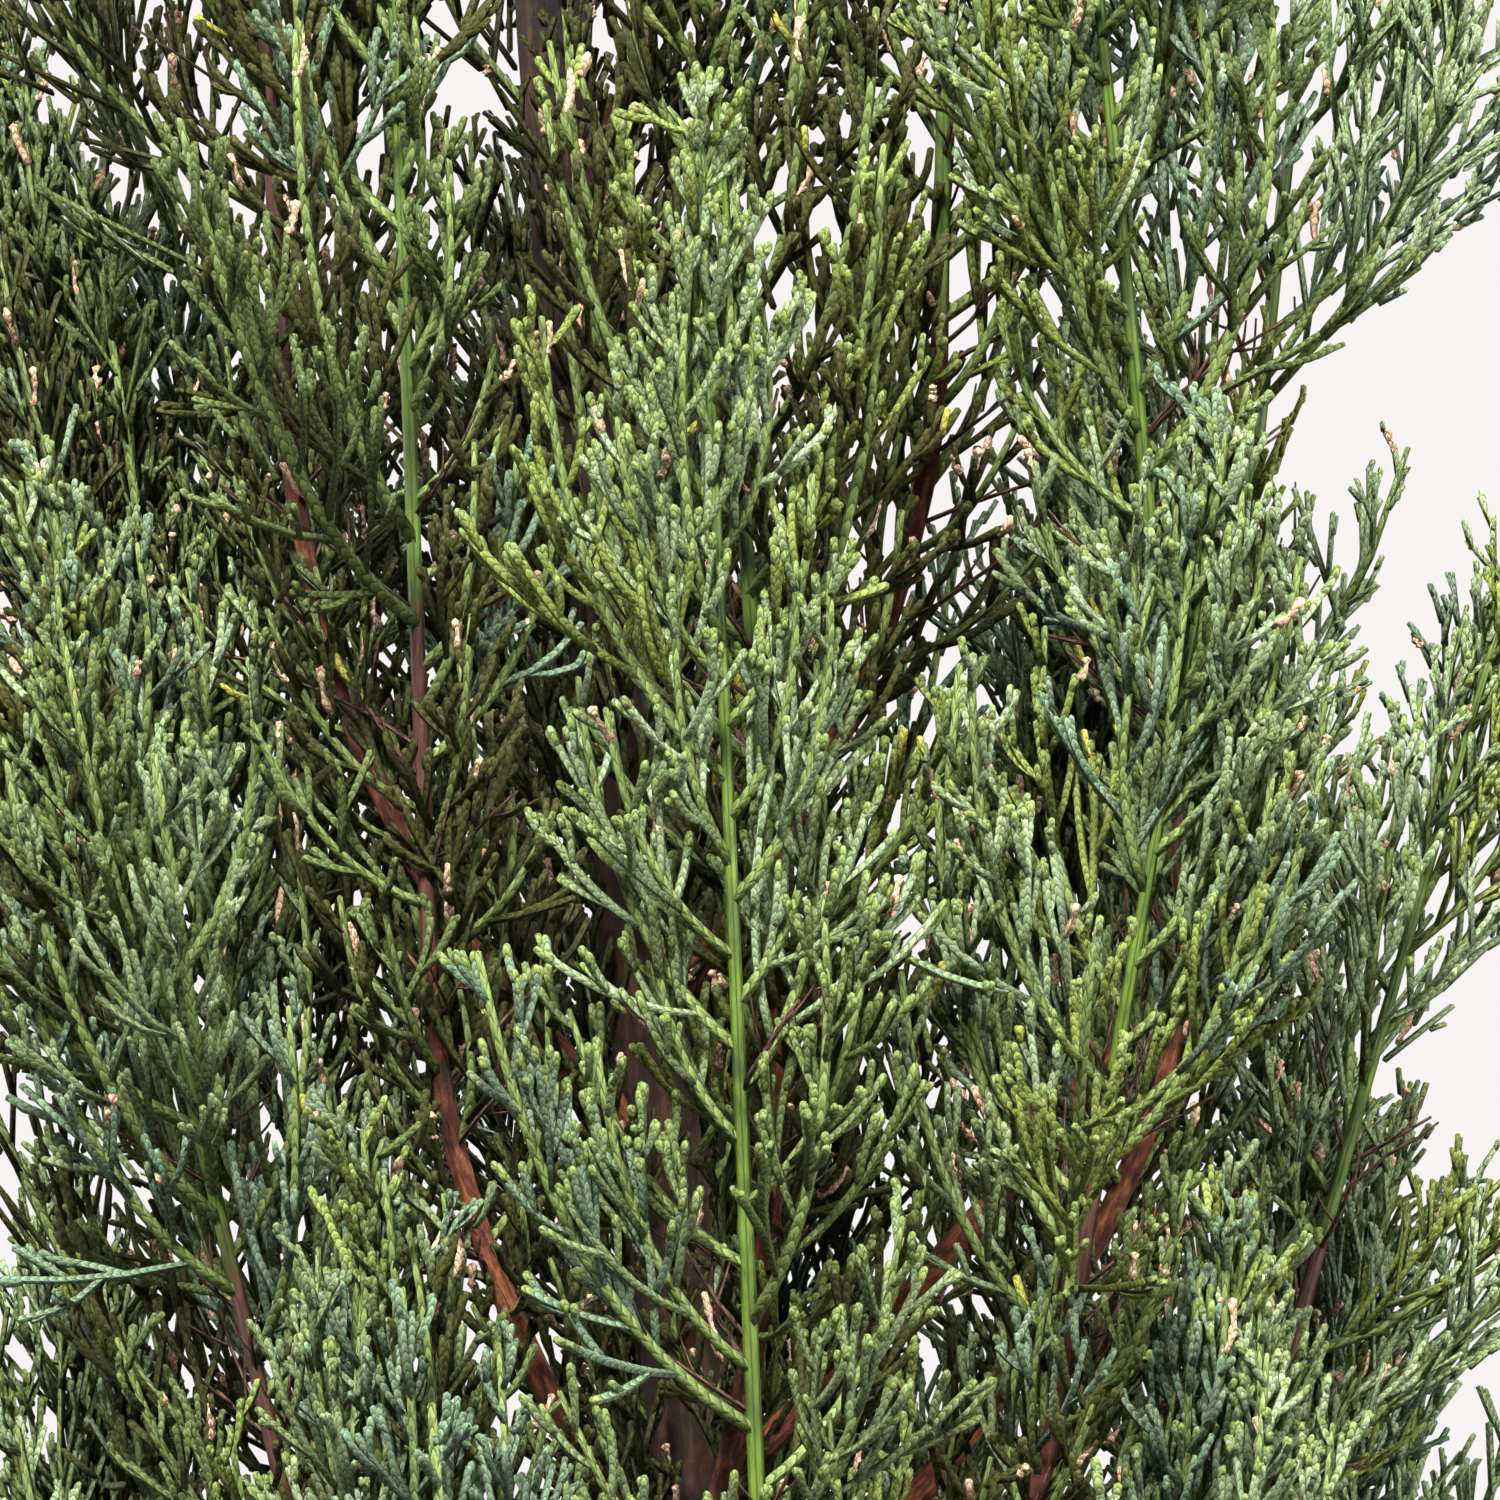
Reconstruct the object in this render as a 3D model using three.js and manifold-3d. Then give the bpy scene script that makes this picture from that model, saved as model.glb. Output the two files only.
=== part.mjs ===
// A young upright cypress tree, rooted in the ground: a trunk, rising boughs and upright masses of
// scale-leaved sprays.
// Millimetres, +Z up. The origin is the centre of the flat cut under the trunk, at ground level.
// -Y is the front, the side that the tree is seen from.
import * as THREE from "three";
import { mergeVertices } from "three/addons/utils/BufferGeometryUtils.js";
import Module from "manifold-3d";

const wasm = await Module();
wasm.setup();

// Driving sizes of the whole tree
const treeHeight = 1050;
const trunkTop = 925;
const trunk = {
  footRadius: 7.6,
  tipRadius: 1.3,
  taperPower: 0.85,
  flareRadius: 5.4,
  flareHeight: 17,
  flareLobes: 5,
  lobeDepth: 0.16,
  bow: -27,
  bowHeight: 560,
  bowSpread: 200,
  backSway: 9,
  sides: 12,
  steps: 20,
  ringCrowding: 1.6,
  levelFootHeight: 2,
  clearShare: 1.1,
};

// Limbs and the gaps between pieces
const bough = {
  sides: 6,
  steps: 5,
  footRadius: 1.4,
  footPerLength: 0.005,
  tipRadius: 1.15,
  forkSlope: 0.85,
  lowestFork: 20,
};
const pieceGap = 0.3;
const clearOfLimb = 0.7;
const clearOfMass = 0.7;
const limbTests = { points: 24, rim: 24, step: 0.002, lastStart: 0.9 };

// One mass of foliage: a stem that swells to a rough core, with twigs and toothed sprays set round it
// by the golden angle
const goldenAngle = THREE.MathUtils.degToRad(137.5);
const foliage = {
  coreSides: 6,
  coreSteps: 6,
  coreShare: 0.56,
  coreFullness: 0.6,
  coreRoughness: 0.5,
  tipRadius: 0.5,
  firstSpray: 0.06,
  spraySpacing: 29,
  sprayAngle: THREE.MathUtils.degToRad(33),
  angleSpread: THREE.MathUtils.degToRad(9),
  turnSpread: 0.4,
  rollSpread: THREE.MathUtils.degToRad(85),
  rootInCore: 0.36,
  topNarrowing: 0.45,
  sprayThickness: 0.07,
  fitSizes: [1, 0.85, 0.7, 0.55],
  shortestSpray: 12,
  stemBend: 0.02,
  trunkStemArch: 12,
  topSprayShare: 0.6,
};

// Every third place holds a three-sided twig that carries a spray at its tip and one at its side
const twig = {
  every: 3,
  sides: 3,
  lengthShare: 0.5,
  radius: 1.05,
  tipRadius: 0.6,
  sprayShare: 0.62,
  sideAngle: THREE.MathUtils.degToRad(38),
  sideAt: 0.6,
  sideScale: 0.8,
  rootSunk: 0.09,
};

// Outline of one toothed spray, half of it, as shares of its length: along the spray, then out to the side
const sprayHalfOutline = [
  [0.0, 0.03],
  [0.45, 0.19],
  [0.5, 0.08],
  [0.77, 0.16],
  [0.72, 0.05],
];
const sprayCentre = 0.42;

// Corners nearer than this are one corner when a geometry becomes a solid
const mergeDistance = 1e-4;

// Shoots that stand to the front and sides at the middle of the crown: where each enters its mass, its tip,
// the upright bare length of its bough below that, and the half width of its mass
const middleShoots = [
  { foot: [2, -79, 308], tip: [-6, -96, 500], bare: 30, reach: 40 },
  { foot: [3, -46, 398], tip: [-8, -62, 566], bare: 34, reach: 36 },
  { foot: [55, -34, 408], tip: [38, -64, 572], bare: 42, reach: 38 },
  { foot: [24, -34, 478], tip: [27, -46, 652], bare: 40, reach: 38 },
  { foot: [38, -56, 344], tip: [58, -72, 462], bare: 26, reach: 36 },
  { foot: [-60, -12, 474], tip: [-68, -24, 622], bare: 62, reach: 40 },
  { foot: [-56, -40, 322], tip: [-88, -50, 458], bare: 24, reach: 42 },
  { foot: [-40, -48, 398], tip: [-46, -60, 562], bare: 38, reach: 38 },
  { foot: [62, 12, 424], tip: [80, 14, 590], bare: 36, reach: 40 },
  { foot: [64, -14, 330], tip: [97, -18, 446], bare: 20, reach: 40 },
];

// The other shoots stand in rings round the trunk: how many, the heights of foot and tip, and how far out
// both are
const rings = [
  { count: 5, foot: 62, tip: 262, footOut: 50, tipOut: 80, bare: 14, reach: 50, turn: 54 },
  { count: 5, foot: 180, tip: 384, footOut: 58, tipOut: 90, bare: 24, reach: 52, turn: 18 },
  { count: 3, foot: 318, tip: 500, footOut: 62, tipOut: 82, bare: 24, reach: 52, turn: 90, spread: 132 },
  { count: 4, foot: 500, tip: 690, footOut: 0, tipOut: 56, reach: 46, turn: 90, spread: 216, onTrunk: true },
  { count: 2, foot: 560, tip: 744, footOut: 0, tipOut: 50, reach: 44, turn: 268, spread: 72, onTrunk: true },
  { count: 4, foot: 664, tip: 856, footOut: 0, tipOut: 38, reach: 40, turn: 50, onTrunk: true },
  { count: 2, foot: 800, tip: 956, footOut: 0, tipOut: 20, reach: 30, turn: 80, onTrunk: true },
];
const ringJitter = { angle: THREE.MathUtils.degToRad(9), height: 22, out: 5 };
const ringCentre = { followsTrunkAbove: 478, shareBelow: 0.4 };
const leader = { tip: [2, -3, treeHeight - 6], reach: 27 };
const seeds = { shoots: 7, firstMass: 101, massStep: 17 };

// Colours of the real surfaces
const barkColour = 0x5a4a42;
const boughColour = 0x7a4535;
const foliageColours = [0x3f5f45, 0x47674c, 0x395640];

// A number from 0 to 1 from a seed, the same on each run
function seededRandom(seed) {
  let state = seed >>> 0;
  return () => {
    state = (Math.imul(state, 1664525) + 1013904223) >>> 0;
    return state / 4294967296;
  };
}

const spread = (random, amount) => (random() * 2 - 1) * amount;
const vector = (p) => new THREE.Vector3(...p);

// Centre line of the trunk at a height
function trunkCentre(z) {
  const bowShare = Math.exp(-(((z - trunk.bowHeight) / trunk.bowSpread) ** 2));
  const bowAtGround = Math.exp(-((trunk.bowHeight / trunk.bowSpread) ** 2));
  const x = trunk.bow * (bowShare - bowAtGround * (1 - z / treeHeight));
  const y = trunk.backSway * Math.sin((Math.PI * z) / treeHeight);
  return new THREE.Vector3(x, y, z);
}

function trunkRadius(z) {
  const left = Math.max(0, 1 - z / trunkTop) ** trunk.taperPower;
  return trunk.tipRadius + (trunk.footRadius - trunk.tipRadius) * left + flare(z);
}

const flare = (z) => trunk.flareRadius * Math.exp(-z / trunk.flareHeight);

// The trunk's line as a three.js curve, with its rings closer together at the flare
class TrunkCurve extends THREE.Curve {
  getPoint(t) {
    return trunkCentre(trunkTop * t ** trunk.ringCrowding);
  }
}

// Bends a cylinder of unit size along a curve, with a radius for each corner
function limbGeometry(curve, radiusAt, sides, steps, from = 0, to = 1) {
  const geometry = new THREE.CylinderGeometry(1, 1, 1, sides, steps);
  const position = geometry.attributes.position;
  const corner = new THREE.Vector3();
  for (let i = 0; i < position.count; i++) {
    corner.fromBufferAttribute(position, i);
    const along = from + (to - from) * (corner.y + 0.5);
    const frame = frameAt(curve, along);
    const radius = radiusAt(along, Math.atan2(corner.z, corner.x));
    const placed = frame.centre
      .addScaledVector(frame.side, -corner.x * radius)
      .addScaledVector(frame.front, corner.z * radius);
    position.setXYZ(i, placed.x, placed.y, placed.z);
  }
  return geometry;
}

// Centre, direction and two square-on directions of a curve at a share of its length
function frameAt(curve, share) {
  const centre = curve.getPoint(share);
  const direction = curve.getTangent(share);
  const side = new THREE.Vector3(0, 1, 0).cross(direction).normalize();
  const front = direction.clone().cross(side);
  return { centre, direction, side, front };
}

// Ground level cuts the trunk flat, so its lowest ring lies level
function trunkGeometry() {
  const curve = new TrunkCurve();
  const radiusAt = (share, angle) => {
    const z = curve.getPoint(share).z;
    const lobes = 1 + trunk.lobeDepth * Math.cos(trunk.flareLobes * angle) * (flare(z) / trunk.flareRadius);
    return trunkRadius(z) * lobes;
  };
  const geometry = limbGeometry(curve, radiusAt, trunk.sides, trunk.steps);
  const position = geometry.attributes.position;
  for (let i = 0; i < position.count; i++) {
    if (position.getZ(i) < trunk.levelFootHeight) position.setZ(i, 0);
  }
  return geometry;
}

// Lists each shoot of the tree with its foot, tip and mass
function planShoots() {
  const shoots = middleShoots.map((s) => ({ ...s, foot: vector(s.foot), tip: vector(s.tip) }));
  const random = seededRandom(seeds.shoots);
  for (const ring of rings) {
    for (let i = 0; i < ring.count; i++) {
      const whole = ring.spread ?? 360;
      const step = ring.spread ? whole / (ring.count - 1) : whole / ring.count;
      const start = ring.spread ? ring.turn - whole / 2 : ring.turn;
      const angle = THREE.MathUtils.degToRad(start + step * i) + spread(random, ringJitter.angle);
      const lift = spread(random, ringJitter.height);
      const out = spread(random, ringJitter.out);
      shoots.push({
        foot: pointRoundTrunk(ring.foot + lift, angle, ring.footOut + (ring.onTrunk ? 0 : out)),
        tip: pointRoundTrunk(ring.tip + lift, angle, ring.tipOut + out),
        bare: ring.bare,
        reach: ring.reach,
        onTrunk: ring.onTrunk,
        outward: new THREE.Vector3(Math.cos(angle), Math.sin(angle), 0),
      });
    }
  }
  const top = trunkCentre(trunkTop);
  shoots.push({
    foot: top,
    tip: vector(leader.tip),
    reach: leader.reach,
    onTip: true,
    name: "leader_foliage",
  });
  return shoots;
}

// Low rings stand less far to the side than the bowed trunk, and high ones stand round the trunk itself
function pointRoundTrunk(z, angle, out) {
  const centre = trunkCentre(z);
  const share = z > ringCentre.followsTrunkAbove ? 1 : ringCentre.shareBelow;
  const x = centre.x * share + Math.cos(angle) * out;
  const y = centre.y * share + Math.sin(angle) * out;
  return new THREE.Vector3(x, y, z);
}

// The curve of a bough, from the middle of the trunk up to the foot of its mass
function boughCurve(shoot) {
  const rise = shoot.tip.clone().sub(shoot.foot).normalize();
  const bend = shoot.foot.clone().addScaledVector(rise, -shoot.bare);
  let start = trunkCentre(bend.z);
  const out = Math.hypot(bend.x - start.x, bend.y - start.y);
  start = trunkCentre(Math.max(bend.z - out * bough.forkSlope, bough.lowestFork));
  return new THREE.QuadraticBezierCurve3(start, bend, shoot.foot);
}

// First share of a curve where a limb of that radius is clear of the trunk
function clearStart(curve, radius) {
  let share = 0;
  while (share < limbTests.lastStart) {
    const { centre, side, front } = frameAt(curve, share);
    let nearest = Infinity;
    for (let k = 0; k < limbTests.rim; k++) {
      const angle = (k / limbTests.rim) * 2 * Math.PI;
      const rim = centre
        .clone()
        .addScaledVector(side, Math.cos(angle) * radius)
        .addScaledVector(front, Math.sin(angle) * radius);
      const level = trunkCentre(rim.z);
      nearest = Math.min(nearest, Math.hypot(rim.x - level.x, rim.y - level.y) - trunkRadius(rim.z));
    }
    if (nearest > pieceGap) return share;
    share += limbTests.step;
  }
  return share;
}

// The curve of a mass's stem, which bends a little on its way to the tip
function stemCurve(shoot) {
  const length = shoot.foot.distanceTo(shoot.tip);
  const rise = shoot.tip.clone().sub(shoot.foot).normalize();
  const startAt = shoot.onTrunk || shoot.onTip ? 0 : pieceGap;
  const start = shoot.foot.clone().addScaledVector(rise, startAt);
  const middle = start.clone().lerp(shoot.tip, 0.5);
  middle.z += shoot.onTip ? 0 : length * foliage.stemBend;
  if (shoot.onTrunk) middle.addScaledVector(shoot.outward, foliage.trunkStemArch);
  return new THREE.QuadraticBezierCurve3(start, middle, shoot.tip);
}

// A closed geometry as a manifold-3d solid
function solidOf(geometry) {
  const bare = new THREE.BufferGeometry().setAttribute("position", geometry.getAttribute("position"));
  bare.setIndex(geometry.index);
  const merged = mergeVertices(bare, mergeDistance);
  const mesh = new wasm.Mesh({
    numProp: 3,
    vertProperties: new Float32Array(merged.attributes.position.array),
    triVerts: new Uint32Array(merged.index.array),
  });
  return new wasm.Manifold(mesh);
}

// A solid back as a three.js geometry
function geometryOf(solid) {
  const { vertProperties, triVerts } = solid.getMesh();
  const geometry = new THREE.BufferGeometry();
  geometry.setAttribute("position", new THREE.BufferAttribute(vertProperties, 3));
  geometry.setIndex(new THREE.BufferAttribute(triVerts, 1));
  geometry.computeVertexNormals();
  return geometry;
}

// A three-sided twig between two points
function twigGeometry(from, to) {
  const line = new THREE.LineCurve3(from, to);
  const radiusAt = (share) => THREE.MathUtils.lerp(twig.radius, twig.tipRadius, share);
  return limbGeometry(line, radiusAt, twig.sides, 1);
}

// A toothed spray: a sphere of two rows whose equator takes the spray's outline
function sprayGeometry(root, direction, across, length) {
  const left = sprayHalfOutline.map(([along, out]) => [along, -out]);
  const right = sprayHalfOutline.map(([along, out]) => [along, out]).reverse();
  const outline = [...left, [1, 0], ...right];
  const geometry = new THREE.SphereGeometry(1, outline.length, 2);
  const position = geometry.attributes.position;
  const columns = outline.length + 1;
  const up = direction.clone().cross(across);
  for (let i = 0; i < position.count; i++) {
    const row = Math.floor(i / columns);
    const [along, out] = row === 1 ? outline[(i % columns) % outline.length] : [sprayCentre, 0];
    const lift = (1 - row) * foliage.sprayThickness * 0.5;
    const placed = root
      .clone()
      .addScaledVector(direction, along * length)
      .addScaledVector(across, out * length)
      .addScaledVector(up, lift * length);
    position.setXYZ(i, placed.x, placed.y, placed.z);
  }
  return geometry;
}

// Points along a limb with its radius there, for testing what stays clear of it
function limbSamples(curve, radiusAt, from, to) {
  return Array.from({ length: limbTests.points + 1 }, (_, i) => {
    const share = from + ((to - from) * i) / limbTests.points;
    return { point: curve.getPoint(share), radius: radiusAt(share) };
  });
}

// Distance from a point to a chain of samples
function distanceTo(point, samples) {
  let nearest = Infinity;
  const line = new THREE.Line3();
  const foot = new THREE.Vector3();
  for (let i = 1; i < samples.length; i++) {
    line.set(samples[i - 1].point, samples[i].point);
    line.closestPointToPoint(point, true, foot);
    nearest = Math.min(nearest, foot.distanceTo(point) - samples[i].radius);
  }
  return nearest;
}

// Whether a geometry keeps to its own mass's space: nearer its own stem than any other, and off every limb
function keepsToItsSpace(geometry, own, masses, limbs) {
  const position = geometry.attributes.position;
  const index = geometry.index.array;
  const corners = [0, 1, 2].map(() => new THREE.Vector3());
  for (let i = 0; i < index.length; i += 3) {
    corners.forEach((c, k) => c.fromBufferAttribute(position, index[i + k]));
    const tests = corners.flatMap((c, k) => [c.clone(), c.clone().lerp(corners[(k + 1) % 3], 0.5)]);
    tests.push(corners[0].clone().add(corners[1]).add(corners[2]).divideScalar(3));
    for (const point of tests) {
      if (limbs.some((limb) => distanceTo(point, limb) < clearOfLimb)) return false;
      const limit = distanceTo(point, own.stemSamples) + clearOfMass;
      if (masses.some((m) => m !== own && distanceTo(point, m.stemSamples) < limit)) return false;
    }
  }
  return true;
}

// Radius of a mass's stem and core at a share of its length, kept in the mass's own space
function coreRadius(mass, masses, limbs, share) {
  const stem = THREE.MathUtils.lerp(mass.stemRadius, foliage.tipRadius, share);
  const swell = Math.sin(Math.PI * share ** foliage.coreFullness) * foliage.coreShare * mass.shoot.reach;
  const centre = mass.curve.getPoint(mass.from + (1 - mass.from) * share);
  const otherMasses = masses.filter((m) => m !== mass);
  const otherLimbs = limbs.filter((limb) => limb !== mass.ownLimb);
  const halfway = otherMasses.map((m) => distanceTo(centre, m.stemSamples) / 2 - clearOfMass);
  const nearLimbs = otherLimbs.map((limb) => distanceTo(centre, limb) - clearOfLimb);
  return Math.max(stem, Math.min(stem + swell, ...halfway, ...nearLimbs));
}

// Fuses one mass: its stem and dented core, then the twigs and sprays that fit its space
function massSolid(mass, masses, limbs, seed) {
  const random = seededRandom(seed);
  const rings = Array.from({ length: foliage.coreSteps + 1 }, (_, i) =>
    coreRadius(mass, masses, limbs, i / foliage.coreSteps),
  );
  const radiusAt = (t) => {
    const place = ((t - mass.from) / (1 - mass.from)) * foliage.coreSteps;
    const ring = Math.min(Math.floor(place), foliage.coreSteps - 1);
    return THREE.MathUtils.lerp(rings[ring], rings[ring + 1], place - ring);
  };
  const dents = rings.map(() =>
    Array.from({ length: foliage.coreSides }, () => 1 - foliage.coreRoughness * random()),
  );
  const cornerRadius = (t, angle) => {
    const share = (t - mass.from) / (1 - mass.from);
    const ring = Math.round(share * foliage.coreSteps);
    const turns = (Math.PI / 2 - angle) / (2 * Math.PI) + 1;
    const column = Math.round(turns * foliage.coreSides) % foliage.coreSides;
    const stem = THREE.MathUtils.lerp(mass.stemRadius, foliage.tipRadius, share);
    return stem + (rings[ring] - stem) * dents[ring][column];
  };
  const core = limbGeometry(mass.curve, cornerRadius, foliage.coreSides, foliage.coreSteps, mass.from, 1);
  const pieces = [solidOf(core)];

  const add = (geometry) => {
    const fits = keepsToItsSpace(geometry, mass, masses, limbs);
    if (fits) pieces.push(solidOf(geometry));
    return fits;
  };
  const addSpray = (root, heading, across, length) =>
    foliage.fitSizes
      .map((size) => size * length)
      .filter((size) => size > foliage.shortestSpray)
      .some((size) => add(sprayGeometry(root, heading, across, size)));

  const length = mass.shoot.foot.distanceTo(mass.shoot.tip);
  const places = Math.round((length * (1 - foliage.firstSpray)) / foliage.spraySpacing);
  for (let i = 0; i < places; i++) {
    const share = foliage.firstSpray + ((1 - foliage.firstSpray) * i) / places;
    const along = mass.from + (1 - mass.from) * share;
    const turn = i * goldenAngle + spread(random, foliage.turnSpread);
    const lean = foliage.sprayAngle + spread(random, foliage.angleSpread);
    const { centre, direction, side, front } = frameAt(mass.curve, along);
    const out = side.clone().multiplyScalar(Math.cos(turn)).addScaledVector(front, Math.sin(turn));
    const heading = direction.clone().multiplyScalar(Math.cos(lean)).addScaledVector(out, Math.sin(lean));
    const roll = spread(random, foliage.rollSpread);
    const across = heading.clone().cross(out).applyAxisAngle(heading, roll).normalize();
    const rootOut = radiusAt(along) * foliage.rootInCore;
    const root = centre.clone().addScaledVector(out, rootOut);
    const reachHere = mass.shoot.reach * (1 - foliage.topNarrowing * share);
    const size = (reachHere - rootOut) / Math.sin(foliage.sprayAngle);
    if (i % twig.every) {
      addSpray(root, heading, across, size);
      continue;
    }
    const end = root.clone().addScaledVector(heading, size * twig.lengthShare);
    if (!add(twigGeometry(root, end))) continue;
    const sprayLength = size * twig.sprayShare;
    const endRoot = end.clone().addScaledVector(heading, -sprayLength * twig.rootSunk);
    addSpray(endRoot, heading, across, sprayLength);
    const bend = (i % 2 ? 1 : -1) * twig.sideAngle;
    const sideHeading = heading.clone().applyAxisAngle(heading.clone().cross(across), bend);
    const sideAcross = across.clone().applyAxisAngle(heading.clone().cross(across), bend);
    addSpray(root.clone().lerp(end, twig.sideAt), sideHeading, sideAcross, sprayLength * twig.sideScale);
  }
  const top = frameAt(mass.curve, 1);
  const topLength = mass.shoot.reach * foliage.topSprayShare;
  addSpray(top.centre.addScaledVector(top.direction, -topLength), top.direction, top.side, topLength);

  const fused = wasm.Manifold.union(pieces);
  return fused.decompose().sort((a, b) => b.volume() - a.volume())[0];
}

function addMesh(group, name, geometry, color, roughness) {
  const material = new THREE.MeshStandardMaterial({ color, roughness, metalness: 0 });
  const mesh = new THREE.Mesh(geometry, material);
  mesh.name = name;
  group.add(mesh);
}

function buildTree() {
  const tree = new THREE.Group();
  addMesh(tree, "trunk", trunkGeometry(), barkColour, 0.95);
  const trunkCurve = new TrunkCurve();
  const clearRadius = (t) => trunkRadius(trunkCurve.getPoint(t).z) * trunk.clearShare;
  const trunkSamples = limbSamples(trunkCurve, clearRadius, 0, 1);
  const limbs = [trunkSamples];
  const masses = [];
  const number = (n) => String(n).padStart(2, "0");
  let boughCount = 0;

  for (const shoot of planShoots()) {
    const curve = stemCurve(shoot);
    const mass = { shoot, curve, from: 0, stemRadius: bough.tipRadius };
    if (shoot.onTrunk) mass.from = clearStart(curve, bough.tipRadius);
    if (shoot.onTip) {
      mass.stemRadius = trunk.tipRadius;
      mass.from = pieceGap / (treeHeight - trunkTop);
    }
    if (!shoot.onTrunk && !shoot.onTip) {
      const line = boughCurve(shoot);
      const footRadius = bough.footRadius + bough.footPerLength * line.getLength();
      const start = clearStart(line, footRadius);
      const radiusAt = (t) => THREE.MathUtils.lerp(footRadius, bough.tipRadius, (t - start) / (1 - start));
      const geometry = limbGeometry(line, radiusAt, bough.sides, bough.steps, start, 1);
      boughCount += 1;
      addMesh(tree, `bough_${number(boughCount)}`, geometry, boughColour, 0.85);
      mass.ownLimb = limbSamples(line, radiusAt, start, 1);
      limbs.push(mass.ownLimb);
    }
    mass.stemSamples = limbSamples(curve, () => 0, mass.from, 1);
    masses.push(mass);
  }

  masses.forEach((mass, i) => {
    const name = mass.shoot.name ?? `foliage_${number(i + 1)}`;
    const solid = massSolid(mass, masses, limbs, seeds.firstMass + i * seeds.massStep);
    addMesh(tree, name, geometryOf(solid), foliageColours[i % foliageColours.length], 0.8);
  });
  return tree;
}

export default buildTree();
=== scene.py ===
# Young upright cypress: bark on trunk and boughs, then stems, twigs and scale-leaved cords
import math
from collections import namedtuple

import bmesh
import bpy
import numpy as np
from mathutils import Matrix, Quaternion, Vector, noise


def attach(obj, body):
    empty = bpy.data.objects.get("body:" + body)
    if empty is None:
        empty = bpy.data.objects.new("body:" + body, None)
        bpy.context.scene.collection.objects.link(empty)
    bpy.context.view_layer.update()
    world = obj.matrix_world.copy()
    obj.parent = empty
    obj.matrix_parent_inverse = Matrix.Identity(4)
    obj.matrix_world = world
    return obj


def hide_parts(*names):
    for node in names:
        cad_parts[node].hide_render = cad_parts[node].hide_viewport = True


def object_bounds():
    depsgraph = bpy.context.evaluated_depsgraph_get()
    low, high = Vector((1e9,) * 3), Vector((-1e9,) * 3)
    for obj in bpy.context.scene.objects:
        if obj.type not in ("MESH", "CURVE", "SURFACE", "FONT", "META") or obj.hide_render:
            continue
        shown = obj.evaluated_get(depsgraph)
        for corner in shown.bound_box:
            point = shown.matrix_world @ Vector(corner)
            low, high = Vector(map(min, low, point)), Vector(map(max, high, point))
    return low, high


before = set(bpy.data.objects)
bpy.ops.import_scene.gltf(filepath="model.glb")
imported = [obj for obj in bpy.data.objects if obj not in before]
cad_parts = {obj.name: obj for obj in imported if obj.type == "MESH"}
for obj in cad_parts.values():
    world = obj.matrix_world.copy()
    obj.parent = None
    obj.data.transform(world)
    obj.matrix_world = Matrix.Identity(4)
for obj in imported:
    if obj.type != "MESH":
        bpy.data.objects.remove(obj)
cadLow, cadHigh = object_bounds()
cadBox = [list(cadLow), list(cadHigh)]
mm = 0.001
scene = bpy.context.scene
print("frame loaded:", len(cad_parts), "nodes")

# growth plan, in millimetres
tree = dict(height=1050, trunkTop=925)
trunk = dict(
    footRadius=7.6, tipRadius=1.3, taperPower=0.85,
    flareRadius=5.4, flareHeight=17, flareLobes=5, lobeDepth=0.16,
    bow=-27, bowHeight=560, bowSpread=200, backSway=9,
)
bough = dict(footRadius=1.4, footPerLength=0.005, tipRadius=1.15, forkSlope=0.85, lowestFork=20)
gap = 0.3
foliage = dict(
    tipRadius=0.5, topNarrowing=0.34, turnSpread=0.4, stemBend=0.02, trunkStemArch=12,
    goldenAngle=math.radians(137.5), fitSizes=(1, 0.85, 0.7, 0.55, 0.42),
)
# foot and tip of each shoot at the middle of the crown, bare bough below it, half width
middleShoots = [
    ((2, -79, 308), (-6, -96, 500), 30, 40),
    ((3, -46, 398), (-8, -62, 566), 34, 36),
    ((55, -34, 408), (38, -64, 572), 42, 38),
    ((24, -34, 478), (27, -46, 652), 40, 38),
    ((38, -56, 344), (58, -72, 462), 26, 36),
    ((-60, -12, 474), (-68, -24, 622), 62, 40),
    ((-56, -40, 322), (-88, -50, 458), 24, 42),
    ((-40, -48, 398), (-46, -60, 562), 38, 38),
    ((62, 12, 424), (80, 14, 590), 36, 40),
    ((64, -14, 330), (97, -18, 446), 20, 40),
]
# rings of the other shoots: count, foot and tip height, foot and tip distance, bare, half width, turn and
# sector in degrees, and whether they start on the trunk
rings = [
    (5, 62, 262, 50, 80, 14, 50, 54, 0, False),
    (5, 180, 384, 58, 90, 24, 52, 18, 0, False),
    (3, 318, 500, 62, 82, 24, 52, 90, 132, False),
    (4, 500, 690, 0, 56, 0, 46, 90, 216, True),
    (2, 560, 744, 0, 50, 0, 44, 268, 72, True),
    (4, 664, 856, 0, 38, 0, 40, 50, 0, True),
    (2, 800, 956, 0, 20, 0, 30, 80, 0, True),
]
ringJitter = dict(angle=math.radians(9), height=22, out=5)
ringCentre = dict(followsTrunkAbove=478, shareBelow=0.4)
leader = dict(tip=(2, -3, 1044), reach=27)
seeds = dict(plan=7, mass=101, massStep=17, trunk=59, twigs=77, cords=20)
factor, increment, modulus = 1664525, 1013904223, 2 ** 32    # of the seeded random numbers


def seededRandom(seed):
    state = [seed]

    def draw():
        state[0] = (state[0] * factor + increment) % modulus
        return state[0] / modulus
    return draw


def spread(draw, amount):
    return (draw() * 2 - 1) * amount


def vary(draw, least, more):
    return least + more * draw()


def between(first, last, share):
    return first + (last - first) * share


def trunkCentre(z):
    bowAtGround = math.exp(-((trunk["bowHeight"] / trunk["bowSpread"]) ** 2))
    bowShare = math.exp(-(((z - trunk["bowHeight"]) / trunk["bowSpread"]) ** 2))
    x = trunk["bow"] * (bowShare - bowAtGround * (1 - z / tree["height"]))
    y = trunk["backSway"] * math.sin(math.pi * z / tree["height"])
    return Vector((x, y, z))


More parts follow.
